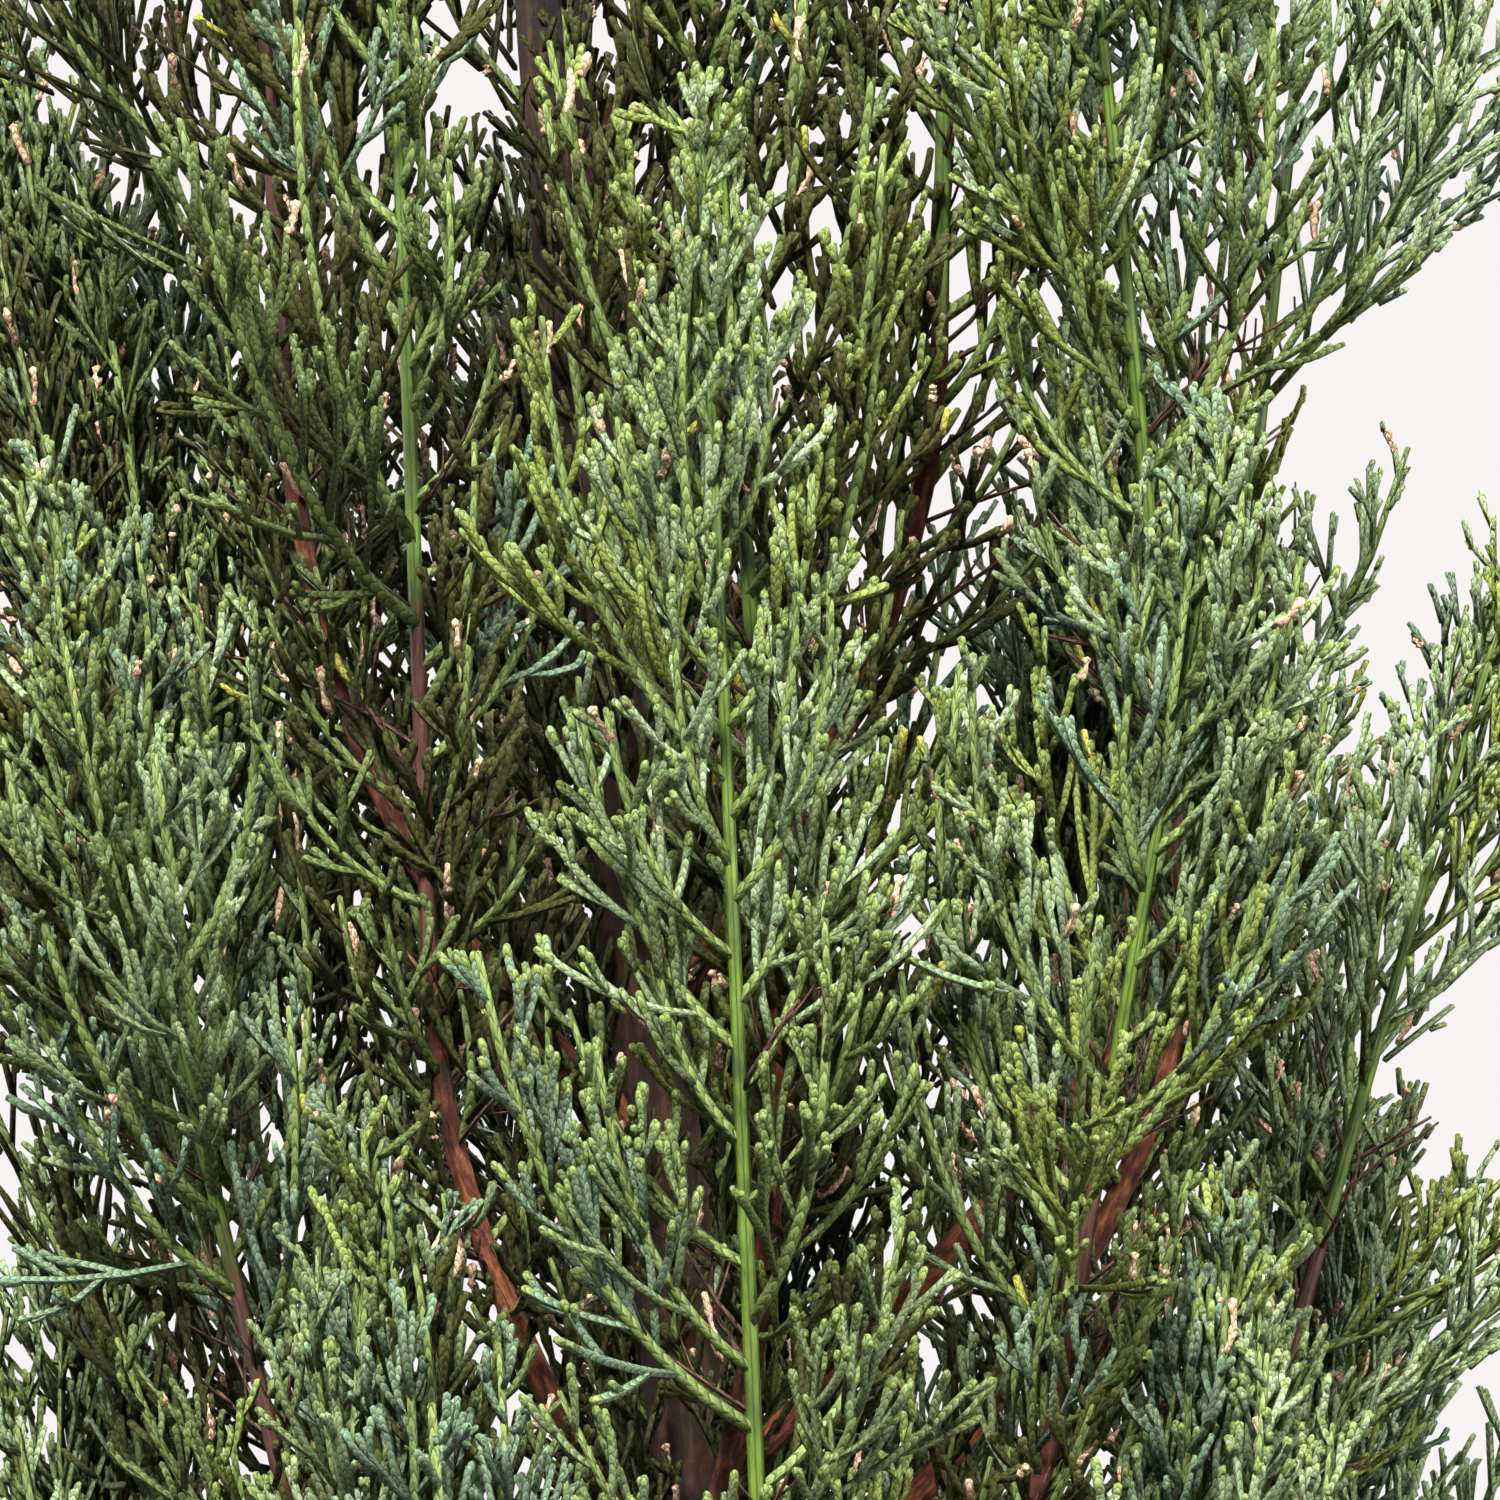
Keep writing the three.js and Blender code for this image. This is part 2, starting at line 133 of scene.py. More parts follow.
def flare(z):
    return trunk["flareRadius"] * math.exp(-z / trunk["flareHeight"])


def trunkRadius(z):
    left = max(0, 1 - z / tree["trunkTop"]) ** trunk["taperPower"]
    return between(trunk["tipRadius"], trunk["footRadius"], left) + flare(z)


class Bend:
    def __init__(self, start, middle, end):
        self.a, self.b, self.c = start, middle, end

    def point(self, t):
        return self.a * (1 - t) ** 2 + self.b * (2 * t * (1 - t)) + self.c * t ** 2

    def heading(self, t):
        return ((self.b - self.a) * (1 - t) + (self.c - self.b) * t).normalized()

    def frame(self, t):
        heading = self.heading(t)
        side = Vector((0, 1, 0)).cross(heading).normalized()
        return self.point(t), heading, side, heading.cross(side)

    def length(self, steps=20):
        points = [self.point(i / steps) for i in range(steps + 1)]
        return sum((q - p).length for p, q in zip(points, points[1:]))


class TrunkLine(Bend):
    # the trunk's centre line, with its rings closer together towards the foot
    power = 1.6

    def point(self, t):
        return trunkCentre(tree["trunkTop"] * t ** self.power)

    def shareAt(self, z):
        return (z / tree["trunkTop"]) ** (1 / self.power)

    def heading(self, t):
        step = 0.0005
        return (self.point(min(1, t + step)) - self.point(max(0, t - step))).normalized()


trunkLine = TrunkLine(None, None, None)    # no corners, as trunkCentre bends it


def around(side, front, turn):
    return side * math.cos(turn) + front * math.sin(turn)


def onRim(centre, side, front, angle, radius):
    return centre + side * (math.cos(angle) * radius) + front * (math.sin(angle) * radius)


def pointRoundTrunk(z, angle, out):
    centre = trunkCentre(z)
    share = 1 if z > ringCentre["followsTrunkAbove"] else ringCentre["shareBelow"]
    return Vector((centre.x * share + math.cos(angle) * out, centre.y * share + math.sin(angle) * out, z))


def planShoots():
    shoots = [
        {"foot": Vector(foot), "tip": Vector(tip), "bare": bare, "reach": reach, "kind": "bough"}
        for foot, tip, bare, reach in middleShoots
    ]
    draw = seededRandom(seeds["plan"])
    for count, foot, tip, footOut, tipOut, bare, reach, turn, sector, onTrunk in rings:
        for i in range(count):
            step = sector / (count - 1) if sector else 360 / count
            start = turn - sector / 2 if sector else turn
            angle = math.radians(start + step * i) + spread(draw, ringJitter["angle"])
            lift = spread(draw, ringJitter["height"])
            out = spread(draw, ringJitter["out"])
            shoots.append({
                "foot": pointRoundTrunk(foot + lift, angle, footOut + (0 if onTrunk else out)),
                "tip": pointRoundTrunk(tip + lift, angle, tipOut + out),
                "bare": bare, "reach": reach, "kind": "trunk" if onTrunk else "bough",
                "outward": Vector((math.cos(angle), math.sin(angle), 0)),
            })
    shoots.append({
        "foot": trunkCentre(tree["trunkTop"]), "tip": Vector(leader["tip"]),
        "bare": 0, "reach": leader["reach"], "kind": "leader",
    })
    return shoots


def boughBend(shoot):
    rise = (shoot["tip"] - shoot["foot"]).normalized()
    knee = shoot["foot"] - rise * shoot["bare"]
    level = trunkCentre(knee.z)
    out = math.hypot(knee.x - level.x, knee.y - level.y)
    start = trunkCentre(max(knee.z - out * bough["forkSlope"], bough["lowestFork"]))
    return Bend(start, knee, shoot["foot"])


rimTest = dict(corners=24, step=0.002, last=0.9)


def clearStart(bend, radius):
    # the share of a limb's line at which its round end stands clear of the bark
    share = 0
    while share < rimTest["last"]:
        centre, heading, side, front = bend.frame(share)
        nearest = math.inf
        for k in range(rimTest["corners"]):
            rim = onRim(centre, side, front, k / rimTest["corners"] * 2 * math.pi, radius)
            level = trunkCentre(rim.z)
            nearest = min(nearest, math.hypot(rim.x - level.x, rim.y - level.y) - trunkRadius(rim.z))
        if nearest > gap:
            return share
        share += rimTest["step"]
    return share


def stemBend(shoot):
    length = (shoot["tip"] - shoot["foot"]).length
    rise = (shoot["tip"] - shoot["foot"]).normalized()
    start = shoot["foot"] + rise * (gap if shoot["kind"] == "bough" else 0)
    middle = start.lerp(shoot["tip"], 0.5)
    if shoot["kind"] != "leader":
        middle.z += length * foliage["stemBend"]
    if shoot["kind"] == "trunk":
        middle += shoot["outward"] * foliage["trunkStemArch"]
    return Bend(start, middle, shoot["tip"])


shoots = planShoots()
for shoot in shoots:
    shoot["stem"] = stemBend(shoot)
    shoot["from"] = 0
    shoot["stemRadius"] = bough["tipRadius"]
    if shoot["kind"] == "trunk":
        shoot["from"] = clearStart(shoot["stem"], bough["tipRadius"])
    if shoot["kind"] == "leader":
        shoot["from"] = gap / (tree["height"] - tree["trunkTop"])
        shoot["stemRadius"] = trunk["tipRadius"]
    if shoot["kind"] == "bough":
        line = boughBend(shoot)
        shoot["limb"] = line
        shoot["limbRadius"] = bough["footRadius"] + bough["footPerLength"] * line.length()
        shoot["limbStart"] = clearStart(line, shoot["limbRadius"])
boughShoots = [shoot for shoot in shoots if "limb" in shoot]
print("growth planned:", len(shoots), "shoots")

# sample points of shoots and limbs, for what keeps to its own space and clear of bark
ownSpace = dict(samples=24, trunkSamples=120, slack=3.0, offBark=0.5, pastBox=1, lowest=2)


def sharesFrom(first):
    count = ownSpace["samples"]
    return [first + (1 - first) * i / count for i in range(count + 1)]


shootPoints = []
for shoot in shoots:
    points = [shoot["stem"].point(t) for t in sharesFrom(shoot["from"])]
    more = [shoot["limb"].point(t) for t in sharesFrom(shoot["limbStart"])] if "limb" in shoot else points
    shootPoints.append(points + more)    # as many for each shoot
shootPoints = np.array(shootPoints)
levels = [tree["trunkTop"] * i / (ownSpace["trunkSamples"] - 1) for i in range(ownSpace["trunkSamples"])]
limbPoints = [trunkCentre(z) for z in levels]
limbRadii = [trunkRadius(z) for z in levels]
for shoot in boughShoots:
    for i, t in enumerate(sharesFrom(shoot["limbStart"])):
        taper = (bough["tipRadius"] - shoot["limbRadius"]) * i / ownSpace["samples"]
        limbPoints.append(shoot["limb"].point(t))
        limbRadii.append(shoot["limbRadius"] + taper)
limbPoints, limbRadii = np.array(limbPoints), np.array(limbRadii)
boxLow, boxHigh = np.array(cadBox[0]) / mm, np.array(cadBox[1]) / mm


def inOwnSpace(points, own):
    # true for each point that is nearest its own shoot, off every limb and inside the tree's box
    points = np.asarray(points, float).reshape(-1, 3)
    away = ((points[:, None, None, :] - shootPoints[None]) ** 2).sum(-1).min(2) ** 0.5
    home = away[:, own].copy()
    away[:, own] = np.inf
    toLimb = ((points[:, None, :] - limbPoints[None]) ** 2).sum(-1) ** 0.5 - limbRadii
    inBox = (points > boxLow - ownSpace["pastBox"]) & (points < boxHigh + ownSpace["pastBox"])
    near = away.min(1) > home - ownSpace["slack"]
    return near & (toLimb.min(1) > ownSpace["offBark"]) & inBox.all(1) & (points[:, 2] > ownSpace["lowest"])


def rgb(red, green, blue):
    # screen colour, 0 to 255, as the linear colour that a shader takes
    def linear(c):
        c /= 255
        return c / 12.92 if c <= 0.04045 else ((c + 0.055) / 1.055) ** 2.4
    return (linear(red), linear(green), linear(blue), 1)


def grey(value):
    return (value, value, value, 1)


def darker(colour, share):
    return tuple(value * share for value in colour[:3]) + (1,)


class Nodes:
    # short calls for a material's or the world's nodes, where an input is a value or another node's socket
    def __init__(self, owner, shader):
        self.tree = owner.node_tree
        self.shader = self.tree.nodes[shader]
        self.place = self.put("ShaderNodeTexCoord").outputs

    def feed(self, socket, value):
        if isinstance(value, bpy.types.NodeSocket):
            self.tree.links.new(value, socket)
        else:
            socket.default_value = value

    def put(self, kind, inputs=None, **settings):
        node = self.tree.nodes.new(kind)
        for key, value in settings.items():
            setattr(node, key, value)
        for key, value in (inputs or {}).items():
            self.feed(node.inputs[key], value)
        return node

    def calc(self, operation, *values):
        return self.put("ShaderNodeMath", dict(enumerate(values)), operation=operation).outputs[0]

    def times(self, *values):
        return self.calc("MULTIPLY", *values)

    def plus(self, *values):
        return self.calc("ADD", *values)

    def mix(self, share, first, second):
        return self.put("ShaderNodeMix", {0: share, 6: first, 7: second}, data_type="RGBA").outputs[2]

    def noise(self, vector, scale, detail, roughness=0.5):
        inputs = {"Vector": vector, "Scale": scale, "Detail": detail, "Roughness": roughness}
        return self.put("ShaderNodeTexNoise", inputs).outputs[0]

    def spots(self, scale, detail):
        return self.noise(self.place["Object"], scale, detail)

    def split(self, vector):
        return self.put("ShaderNodeSeparateXYZ", {0: vector}).outputs

    def ramp(self, factor, *stops):
        node = self.put("ShaderNodeValToRGB", {0: factor})
        elements = node.color_ramp.elements
        while len(elements) < len(stops):
            elements.new(0.5)
        for element, (position, colour) in zip(elements, stops):
            element.position, element.color = position, colour
        return node.outputs[0]

    def fade(self, factor, low, high, first=0, last=1):
        return self.ramp(factor, (low, grey(first)), (high, grey(last)))

    def dress(self, colour, height, strength, distance):
        bump = self.put("ShaderNodeBump", {"Height": height, "Strength": strength, "Distance": distance})
        self.feed(self.shader.inputs["Base Color"], colour)
        self.feed(self.shader.inputs["Normal"], bump.outputs[0])


def newMaterial(name, roughness, specular):
    material = bpy.data.materials.new(name)
    material.use_nodes = True
    nodes = Nodes(material, "Principled BSDF")
    nodes.shader.inputs["Roughness"].default_value = roughness
    nodes.shader.inputs["Specular IOR Level"].default_value = specular
    return material, nodes


# scale leaves stand in columns round a twig, each half a leaf higher than the last; lengths in millimetres
scaleLeaf = dict(columns=4, length=1.15, pointPower=1.5, point=1.2)


def scalePattern(nodes, uv):
    # how far up its leaf a point is, and how far aside in its column
    turns = nodes.times(uv[0], scaleLeaf["columns"])
    aside = nodes.calc("ABSOLUTE", nodes.calc("SUBTRACT", nodes.calc("FRACT", turns), 0.5))
    pointed = nodes.times(nodes.calc("POWER", aside, scaleLeaf["pointPower"]), scaleLeaf["point"])
    shifted = nodes.times(nodes.calc("MODULO", nodes.calc("FLOOR", turns), 2), 0.5)
    height = nodes.plus(nodes.plus(uv[1], shifted), pointed)
    return nodes.calc("FRACT", height), aside


# fades are low and high end of a value, then the shares there; bump heights in metres
# the edge fade paints a highlight on each scale leaf's raised tip, and the seam paints the shadow that this
# tip casts on the next leaf's foot
cordLook = dict(
    roughness=0.72, dryRoughness=0.85, specular=0.1, patches=(90, 3), patchFade=(0.35, 0.65),
    bloom=(2400, 2), bloomFade=(0.45, 0.7), bloomShare=0.6, bloomBump=0.25, seamDark=0.36,
    tipHighlightFade=(0.5, 0.97, 0, 0.85), shadowUnderTipFade=(0, 0.34, 0.95, 0), bump=1.0, bumpHeight=0.0002,
)


def cordMaterial(name, dark, light, edge, roughness):
    # patches of two greens with a pale bloom, and on each scale leaf a painted highlight on its raised tip
    # and a painted shadow at its foot, under its neighbour's tip
    look = cordLook
    material, nodes = newMaterial(name, roughness, look["specular"])
    rise = scalePattern(nodes, nodes.split(nodes.place["UV"]))[0]
    patches = nodes.spots(*look["patches"])
    bloom = nodes.spots(*look["bloom"])
    green = nodes.mix(nodes.fade(patches, *look["patchFade"]), dark, light)
    rubbed = nodes.times(nodes.fade(bloom, *look["bloomFade"]), look["bloomShare"])
    bloomed = nodes.mix(rubbed, green, edge)
    # painted highlight: the raised tip of each scale leaf turns towards the bloom colour
    highlighted = nodes.mix(nodes.fade(rise, *look["tipHighlightFade"]), bloomed, edge)
    # painted shadow: the foot of each scale leaf, under its neighbour's tip, is darkened
    colour = nodes.mix(nodes.fade(rise, *look["shadowUnderTipFade"]), highlighted, darker(dark, look["seamDark"]))
    height = nodes.plus(rise, nodes.times(bloom, look["bloomBump"]))
    nodes.dress(colour, height, look["bump"], look["bumpHeight"])
    return material


def fibreNoise(nodes, size, along, *grain):
    # noise drawn out along a limb, and round it without a seam, from its UV map: turns and millimetres
    uv = nodes.split(nodes.place["UV"])
    turn = nodes.times(uv[0], 2 * math.pi)
    parts = [nodes.times(nodes.calc(wave, turn), size) for wave in ("COSINE", "SINE")]
    parts.append(nodes.times(uv[1], along))
    return nodes.noise(nodes.put("ShaderNodeCombineXYZ", dict(enumerate(parts))).outputs[0], *grain)


barkLook = dict(
    roughness=0.85, specular=0.2, grain=(1, 7, 0.7), flakes=(420, 4), stains=(38, 3),
    fibreShare=0.55, stainShare=0.25, flakeShare=0.2, stops=(0.38, 0.5, 0.64), flakeBump=0.4, bump=1.0,
)


def barkMaterial(name, skin):
    # fibrous bark: noise drawn out along the limb, with flakes and stains
    look = barkLook
    material, nodes = newMaterial(name, look["roughness"], look["specular"])
    fibres = fibreNoise(nodes, *skin["fibres"], *look["grain"])
    flakes = nodes.spots(*look["flakes"])
    stains = nodes.spots(*look["stains"])
    mixed = nodes.plus(nodes.times(fibres, look["fibreShare"]), nodes.times(stains, look["stainShare"]))
    mixed = nodes.plus(mixed, nodes.times(flakes, look["flakeShare"]))
    colour = nodes.ramp(mixed, *zip(look["stops"], [rgb(*colour) for colour in skin["colours"]]))
    height = nodes.plus(fibres, nodes.times(flakes, look["flakeBump"]))
    nodes.dress(colour, height, look["bump"], skin["bumpHeight"])
    return material


def ringEdges(ring):
    level = set(ring)
    edges = [edge for v in ring for edge in v.link_edges if all(w in level for w in edge.verts)]
    return list(dict.fromkeys(edges))


def limbInto(bm, bend, radiusAt, skin, start=0, age=None):
    # a ring extruded straight up, closed at both ends, then bent along the limb's line
    uvLayer = bm.loops.layers.uv.verify()
    ageLayer = bm.verts.layers.float.get("age") or bm.verts.layers.float.new("age")
    ringCount = skin["rings"]
    ring = bmesh.ops.create_circle(bm, cap_ends=True, segments=skin["sides"], radius=1)["verts"]
    faces = list(ring[0].link_faces)
    verts = list(ring)
    for level in range(ringCount):
        grown = bmesh.ops.extrude_edge_only(bm, edges=ringEdges(ring))["geom"]
        ring = [g for g in grown if isinstance(g, bmesh.types.BMVert)]
        faces += [g for g in grown if isinstance(g, bmesh.types.BMFace)]
        verts += ring
        bmesh.ops.translate(bm, verts=ring, vec=(0, 0, 1))
    faces += bmesh.ops.edgeloop_fill(bm, edges=ringEdges(ring))["faces"]
    length = bend.length() * (1 - start)
    for face in faces:
        turns = [math.atan2(loop.vert.co.y, loop.vert.co.x) / (2 * math.pi) for loop in face.loops]
        wraps = max(turns) - min(turns) > 0.5
        for loop, turn in zip(face.loops, turns):
            turn = turn + 1 if wraps and turn < 0 else turn
            loop[uvLayer].uv = (turn, loop.vert.co.z / ringCount * length)
        face.smooth = True
    for v in verts:
        share = v.co.z / ringCount
        angle = math.atan2(v.co.y, v.co.x)
        centre, heading, side, front = bend.frame(between(start, 1, share))
        v.co = onRim(centre, side, front, angle, radiusAt(share, angle, centre)) * mm
        v[ageLayer] = age(share) if age else 1
    bmesh.ops.recalc_face_normals(bm, faces=faces)


def addObject(mesh, material):
    mesh.materials.append(material)
    item = bpy.data.objects.new(mesh.name, mesh)
    scene.collection.objects.link(item)
    return item


def meshFrom(bm, name):
    mesh = bpy.data.meshes.new(name)
    bm.normal_update()
    bm.to_mesh(mesh)
    bm.free()
    return mesh


def knots(share, number, skin):
    place = Vector((share * skin["knotsAlong"], number * skin["knotsApart"], skin["layer"]))
    return 1 + skin["knots"] * noise.noise(place)


furrows = (0.9, 2.1, 4)    # smoothness, finer from octave to octave, and octaves


def barkRelief(angle, along, skin, deep=1):
    # long shallow furrows with short cross breaks
    place = Vector((math.cos(angle) * skin["size"], math.sin(angle) * skin["size"], along / skin["stretch"]))
    return 1 + skin["relief"] * deep * noise.fractal(place, *furrows)


trunkSkin = dict(
    sides=44, rings=300, relief=0.09, footRelief=0.25, reliefHeight=30,
    size=1.6, stretch=22, flatBelow=0.0006, fibres=(3.4, 0.09), bumpHeight=0.002,
    colours=((10, 6, 4), (31, 18, 11), (70, 45, 30)),
)


def makeTrunk():
    bm, skin = bmesh.new(), trunkSkin

    def radiusAt(share, angle, centre):
        z = centre.z
        lobes = trunk["lobeDepth"] * math.cos(trunk["flareLobes"] * angle) * flare(z) / trunk["flareRadius"]
        deep = min(1, skin["footRelief"] + z / skin["reliefHeight"])
        return trunkRadius(z) * (1 + lobes) * barkRelief(angle, z, skin, deep)
    limbInto(bm, trunkLine, radiusAt, skin)
    for v in bm.verts:
        if v.co.z <= skin["flatBelow"]:
            v.co.z = 0
    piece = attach(addObject(meshFrom(bm, "trunkBark"), barkMaterial("trunkBark", skin)), "root")
    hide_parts("trunk")


boughSkin = dict(
    sides=16, rings=44, sunk=0.05, collar=0.35, collarFall=22,
    knots=0.08, knotsAlong=14, knotsApart=7.1, layer=0.5,
    relief=0.09, size=1.2, stretch=9, reliefAlong=90, reliefApart=50,
    fibres=(1.9, 0.24), bumpHeight=0.0012, colours=((20, 9, 5), (74, 36, 20), (138, 84, 54)),
)


def makeBoughs():
    bm, skin = bmesh.new(), boughSkin
    for number, shoot in enumerate(boughShoots):
        def radiusAt(share, angle, centre, shoot=shoot, number=number):
            plain = between(shoot["limbRadius"], bough["tipRadius"], share)
            collar = 1 + skin["collar"] * math.exp(-share * skin["collarFall"])
            along = share * skin["reliefAlong"] + number * skin["reliefApart"]
            return plain * collar * knots(share, number, skin) * barkRelief(angle, along, skin)
        limbInto(bm, shoot["limb"], radiusAt, skin, max(0, shoot["limbStart"] - skin["sunk"]))
    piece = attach(addObject(meshFrom(bm, "boughBark"), barkMaterial("boughBark", skin)), "root")
    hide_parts(*[f"bough_{i + 1:02d}" for i in range(len(boughShoots))])


makeTrunk()
makeBoughs()
print("bark made")

# sprays: lengths in millimetres, angles in degrees, a pair is the least and what may be added to it
spray = dict(
    first=0.018, last=0.985, everyLow=7, everyTop=3.6, step=(0.8, 0.4), size=(0.62, 0.42),
    leanLow=66, leanTop=26, leanSpread=13, sideTurn=0.25, sideSpread=0.7, sideReach=2.05,
    roll=85, curl=1.15, rise=0.4, shortest=6, testedAt=(1, 0.6), tipLength=6, tipShare=0.6, radius=0.72,
    thin=0.7, thick=1.2, thickPer=120, coarser=1.12, larger=1.3, frontSpacing=1.24, backSpacing=0.6,
)
endSpray = dict(at=0.975, lean=0.05, length=9)
# short sprays on boughs and trunk fill the inside of the crown; their low age gives them deeper tints,
# partly as older growth and partly as painted shade of the crown's inside
inner = dict(
    # dark and its share push sprays near the trunk's line towards deeper tints, as painted shade of the
    # crown's inside
    lean=52, leanSpread=14, step=(0.7, 0.6), dark=70, innerShadeShare=0.5,
    onBough=dict(every=5.2, length=40, size=(0.5, 0.5), last=0.96, first=0.03, full=0.3, age=-1.1),
    onTrunk=dict(
        every=3.6, length=42, size=(0.55, 0.45), first=60, left=20, root=0.9, middle=0.7,
        age=-1.3, fuller=0.8, fullerHeight=495, fullerSpread=50,
    ),
    bare={"from": 470, "to": 560, "right": 0.3},    # where the trunk shows in front
)
# shoots that differ from the rest: spacing of sprays, paleness (painted light on lit shoots in front and on
# the right, painted shade on shoots behind) and how much paler towards the tip (partly younger growth,
# partly painted light on a shoot's upper part), the share of sprays that stand out to the left and right by
# turns, so that the stem shows, the length of those, and that of the sprays which point to the right, where
# the trunk shows
plainHabit = dict(spacing=1, paintedLighting=0, slope=0.35, sideways=0, width=1, inward=1)
habit = {
    0: dict(spacing=1.12, paintedLighting=0.26, slope=0.6, sideways=0.85, width=0.68),
    1: dict(spacing=1.2, paintedLighting=-0.3, slope=1.3, sideways=0.97, width=0.9),
    2: dict(paintedLighting=0.2, slope=0.3, sideways=0.75),
    3: dict(spacing=0.55, paintedLighting=-0.1, sideways=0.5),
    4: dict(spacing=0.9, paintedLighting=0.3, sideways=0.3),
    5: dict(spacing=0.65, paintedLighting=-0.05, sideways=0.2),
    6: dict(spacing=0.7, paintedLighting=-0.05, sideways=0.5),
    7: dict(spacing=0.85, paintedLighting=-0.25, sideways=0.4, inward=0.45),
    8: dict(spacing=2.4, paintedLighting=0.5, slope=0.3, sideways=0.8),
    9: dict(spacing=1.25, paintedLighting=0.6, sideways=0.5),
    15: dict(spacing=1.1, paintedLighting=0.35),
    19: dict(spacing=1.1, paintedLighting=0.3),
    20: dict(paintedLighting=0.3),
}
habit.update({own: {"spacing": 0.8} for own in range(21, 27)})


def ownHabit(own, name):
    return habit.get(own, plainHabit).get(name, plainHabit[name])


# what each spray carries: branchlets, cords on them and the last forks
orders = [
    dict(every=3.2, first=0.1, angle=46, turn=137.5, roll=25, share=0.5, extra=4.5, longest=27, radius=0.58),
    dict(every=3.7, first=0.18, angle=38, turn=180, roll=50, share=0.56, extra=3.2, longest=14, radius=0.56),
    dict(every=4.4, first=0.36, angle=36, turn=180, roll=60, share=0.42, extra=1.6, longest=5, radius=0.54),
]
twig = dict(
    last=0.97, placeSpread=0.3, angleSpread=0.25, size=(0.7, 0.55), curl=(0.15, 0.3), radiusSpread=0.08,
    cutShort=0.5,
)
lift = dict(start=0.3, curl=0.85)    # how far cords turn up towards the light
# what the photograph shows from close by, down to where sprays reach up into it, and the feet of back shoots
# that show between the front ones
window = dict(low=322, high=538, front=-22, sprayLow=277, backLow=162, backHigh=478)
Line = namedtuple("Line", "start heading curl length radius tint detail", defaults=(None, None))
axes, cords = [], []
zAxis = Vector((0, 0, 1))


def linePoint(line, t):
    return line.start + (line.heading * t + line.curl * (t * t / 2)) * line.length


def lineHeading(line, t):
    return (line.heading + line.curl * t).normalized()


def square(direction, towards):
    # the part of a direction that is square to another, at unit length
    rest = towards - direction * towards.dot(direction)
    return rest.normalized() if rest.length > 1e-6 else direction.orthogonal().normalized()


def detailAt(place, own):
    if not window["low"] < place.z < window["high"]:
        return "away"
    if own == 0 and place.y < window["front"]:
        return "fine"
    return "close" if place.y < window["front"] else "behind"


def larger(coarser):
    return spray["larger"] if coarser > 1 else 1


def growOn(parent, across, depth, own, draw, coarser):
    # side twigs all round an axis, and to left and right by turns on what it carries, bent up to the light
    if depth == len(orders) or (depth == 2 and coarser > 1):
        return
    rule = orders[depth]
    every = rule["every"] * (spray["frontSpacing"] if parent.start.y < window["front"] else 1) * coarser
    room = twig["last"] - rule["first"]
    count = int(parent.length * room / every + draw())
    turn = draw() * 2 * math.pi
    grown, outs = [], []
    for j in range(count):
        turn += math.radians(rule["turn"] + spread(draw, rule["roll"]))
        t = rule["first"] + room * (j + 0.5 + spread(draw, twig["placeSpread"])) / count
        along = lineHeading(parent, t)
        level = square(along, across)
        out = around(level, along.cross(level), turn)
        lean = math.radians(rule["angle"]) * (1 + spread(draw, twig["angleSpread"]))
        heading = (around(along, out, lean) + zAxis * (lift["start"] * draw())).normalized()
        size = min(rule["longest"], parent.length * (1 - t) * rule["share"] + rule["extra"])
        size *= vary(draw, *twig["size"])
        curl = square(heading, along) * vary(draw, *twig["curl"])
        curl += (zAxis - heading * heading.z) * (lift["curl"] * draw())
        radius = rule["radius"] * (1 + spread(draw, twig["radiusSpread"])) * larger(coarser)
        start = linePoint(parent, t)
        grown.append(Line(start, heading, curl, size, radius, parent.tint, detailAt(start, own)))
        outs.append(out)
    if depth == 0 and grown:
        fits = inOwnSpace([linePoint(line, 1) for line in grown], own)
        grown = [line if fit else line._replace(length=line.length * twig["cutShort"])
                 for line, fit in zip(grown, fits)]
    for line, out in zip(grown, outs):
        cords.append(line)
        growOn(line, out, depth + 1, own, draw, coarser)


def growSpray(root, heading, across, length, own, draw, tint, rise):
    curl = square(heading, rise + zAxis * spray["rise"]) * spray["curl"]
    for size in foliage["fitSizes"]:
        axis = Line(root, heading, curl, length * size, spray["radius"], tint, detailAt(root, own))
        tested = [linePoint(axis, t) for t in spray["testedAt"]]
        if axis.length > spray["shortest"] and inOwnSpace(tested, own).all():
            break
    else:
        return
    coarser = 1 if window["sprayLow"] < root.z < window["high"] else spray["coarser"]
    thickness = min(spray["thick"], spray["thin"] + axis.length / spray["thickPer"])
    axis = axis._replace(radius=axis.radius * thickness * larger(coarser))
    axes.append(axis)
    growOn(axis, across, 0, own, draw, coarser)


tints = dict(
    oliveShoots=(1, 2, 3, 8, 9), oliveBelow=0.25, shadeBelow=0.1, deepBelow=0.42,
    middleBelow=0.78, sageBelow=0.55, paleAbove=0.2,
)


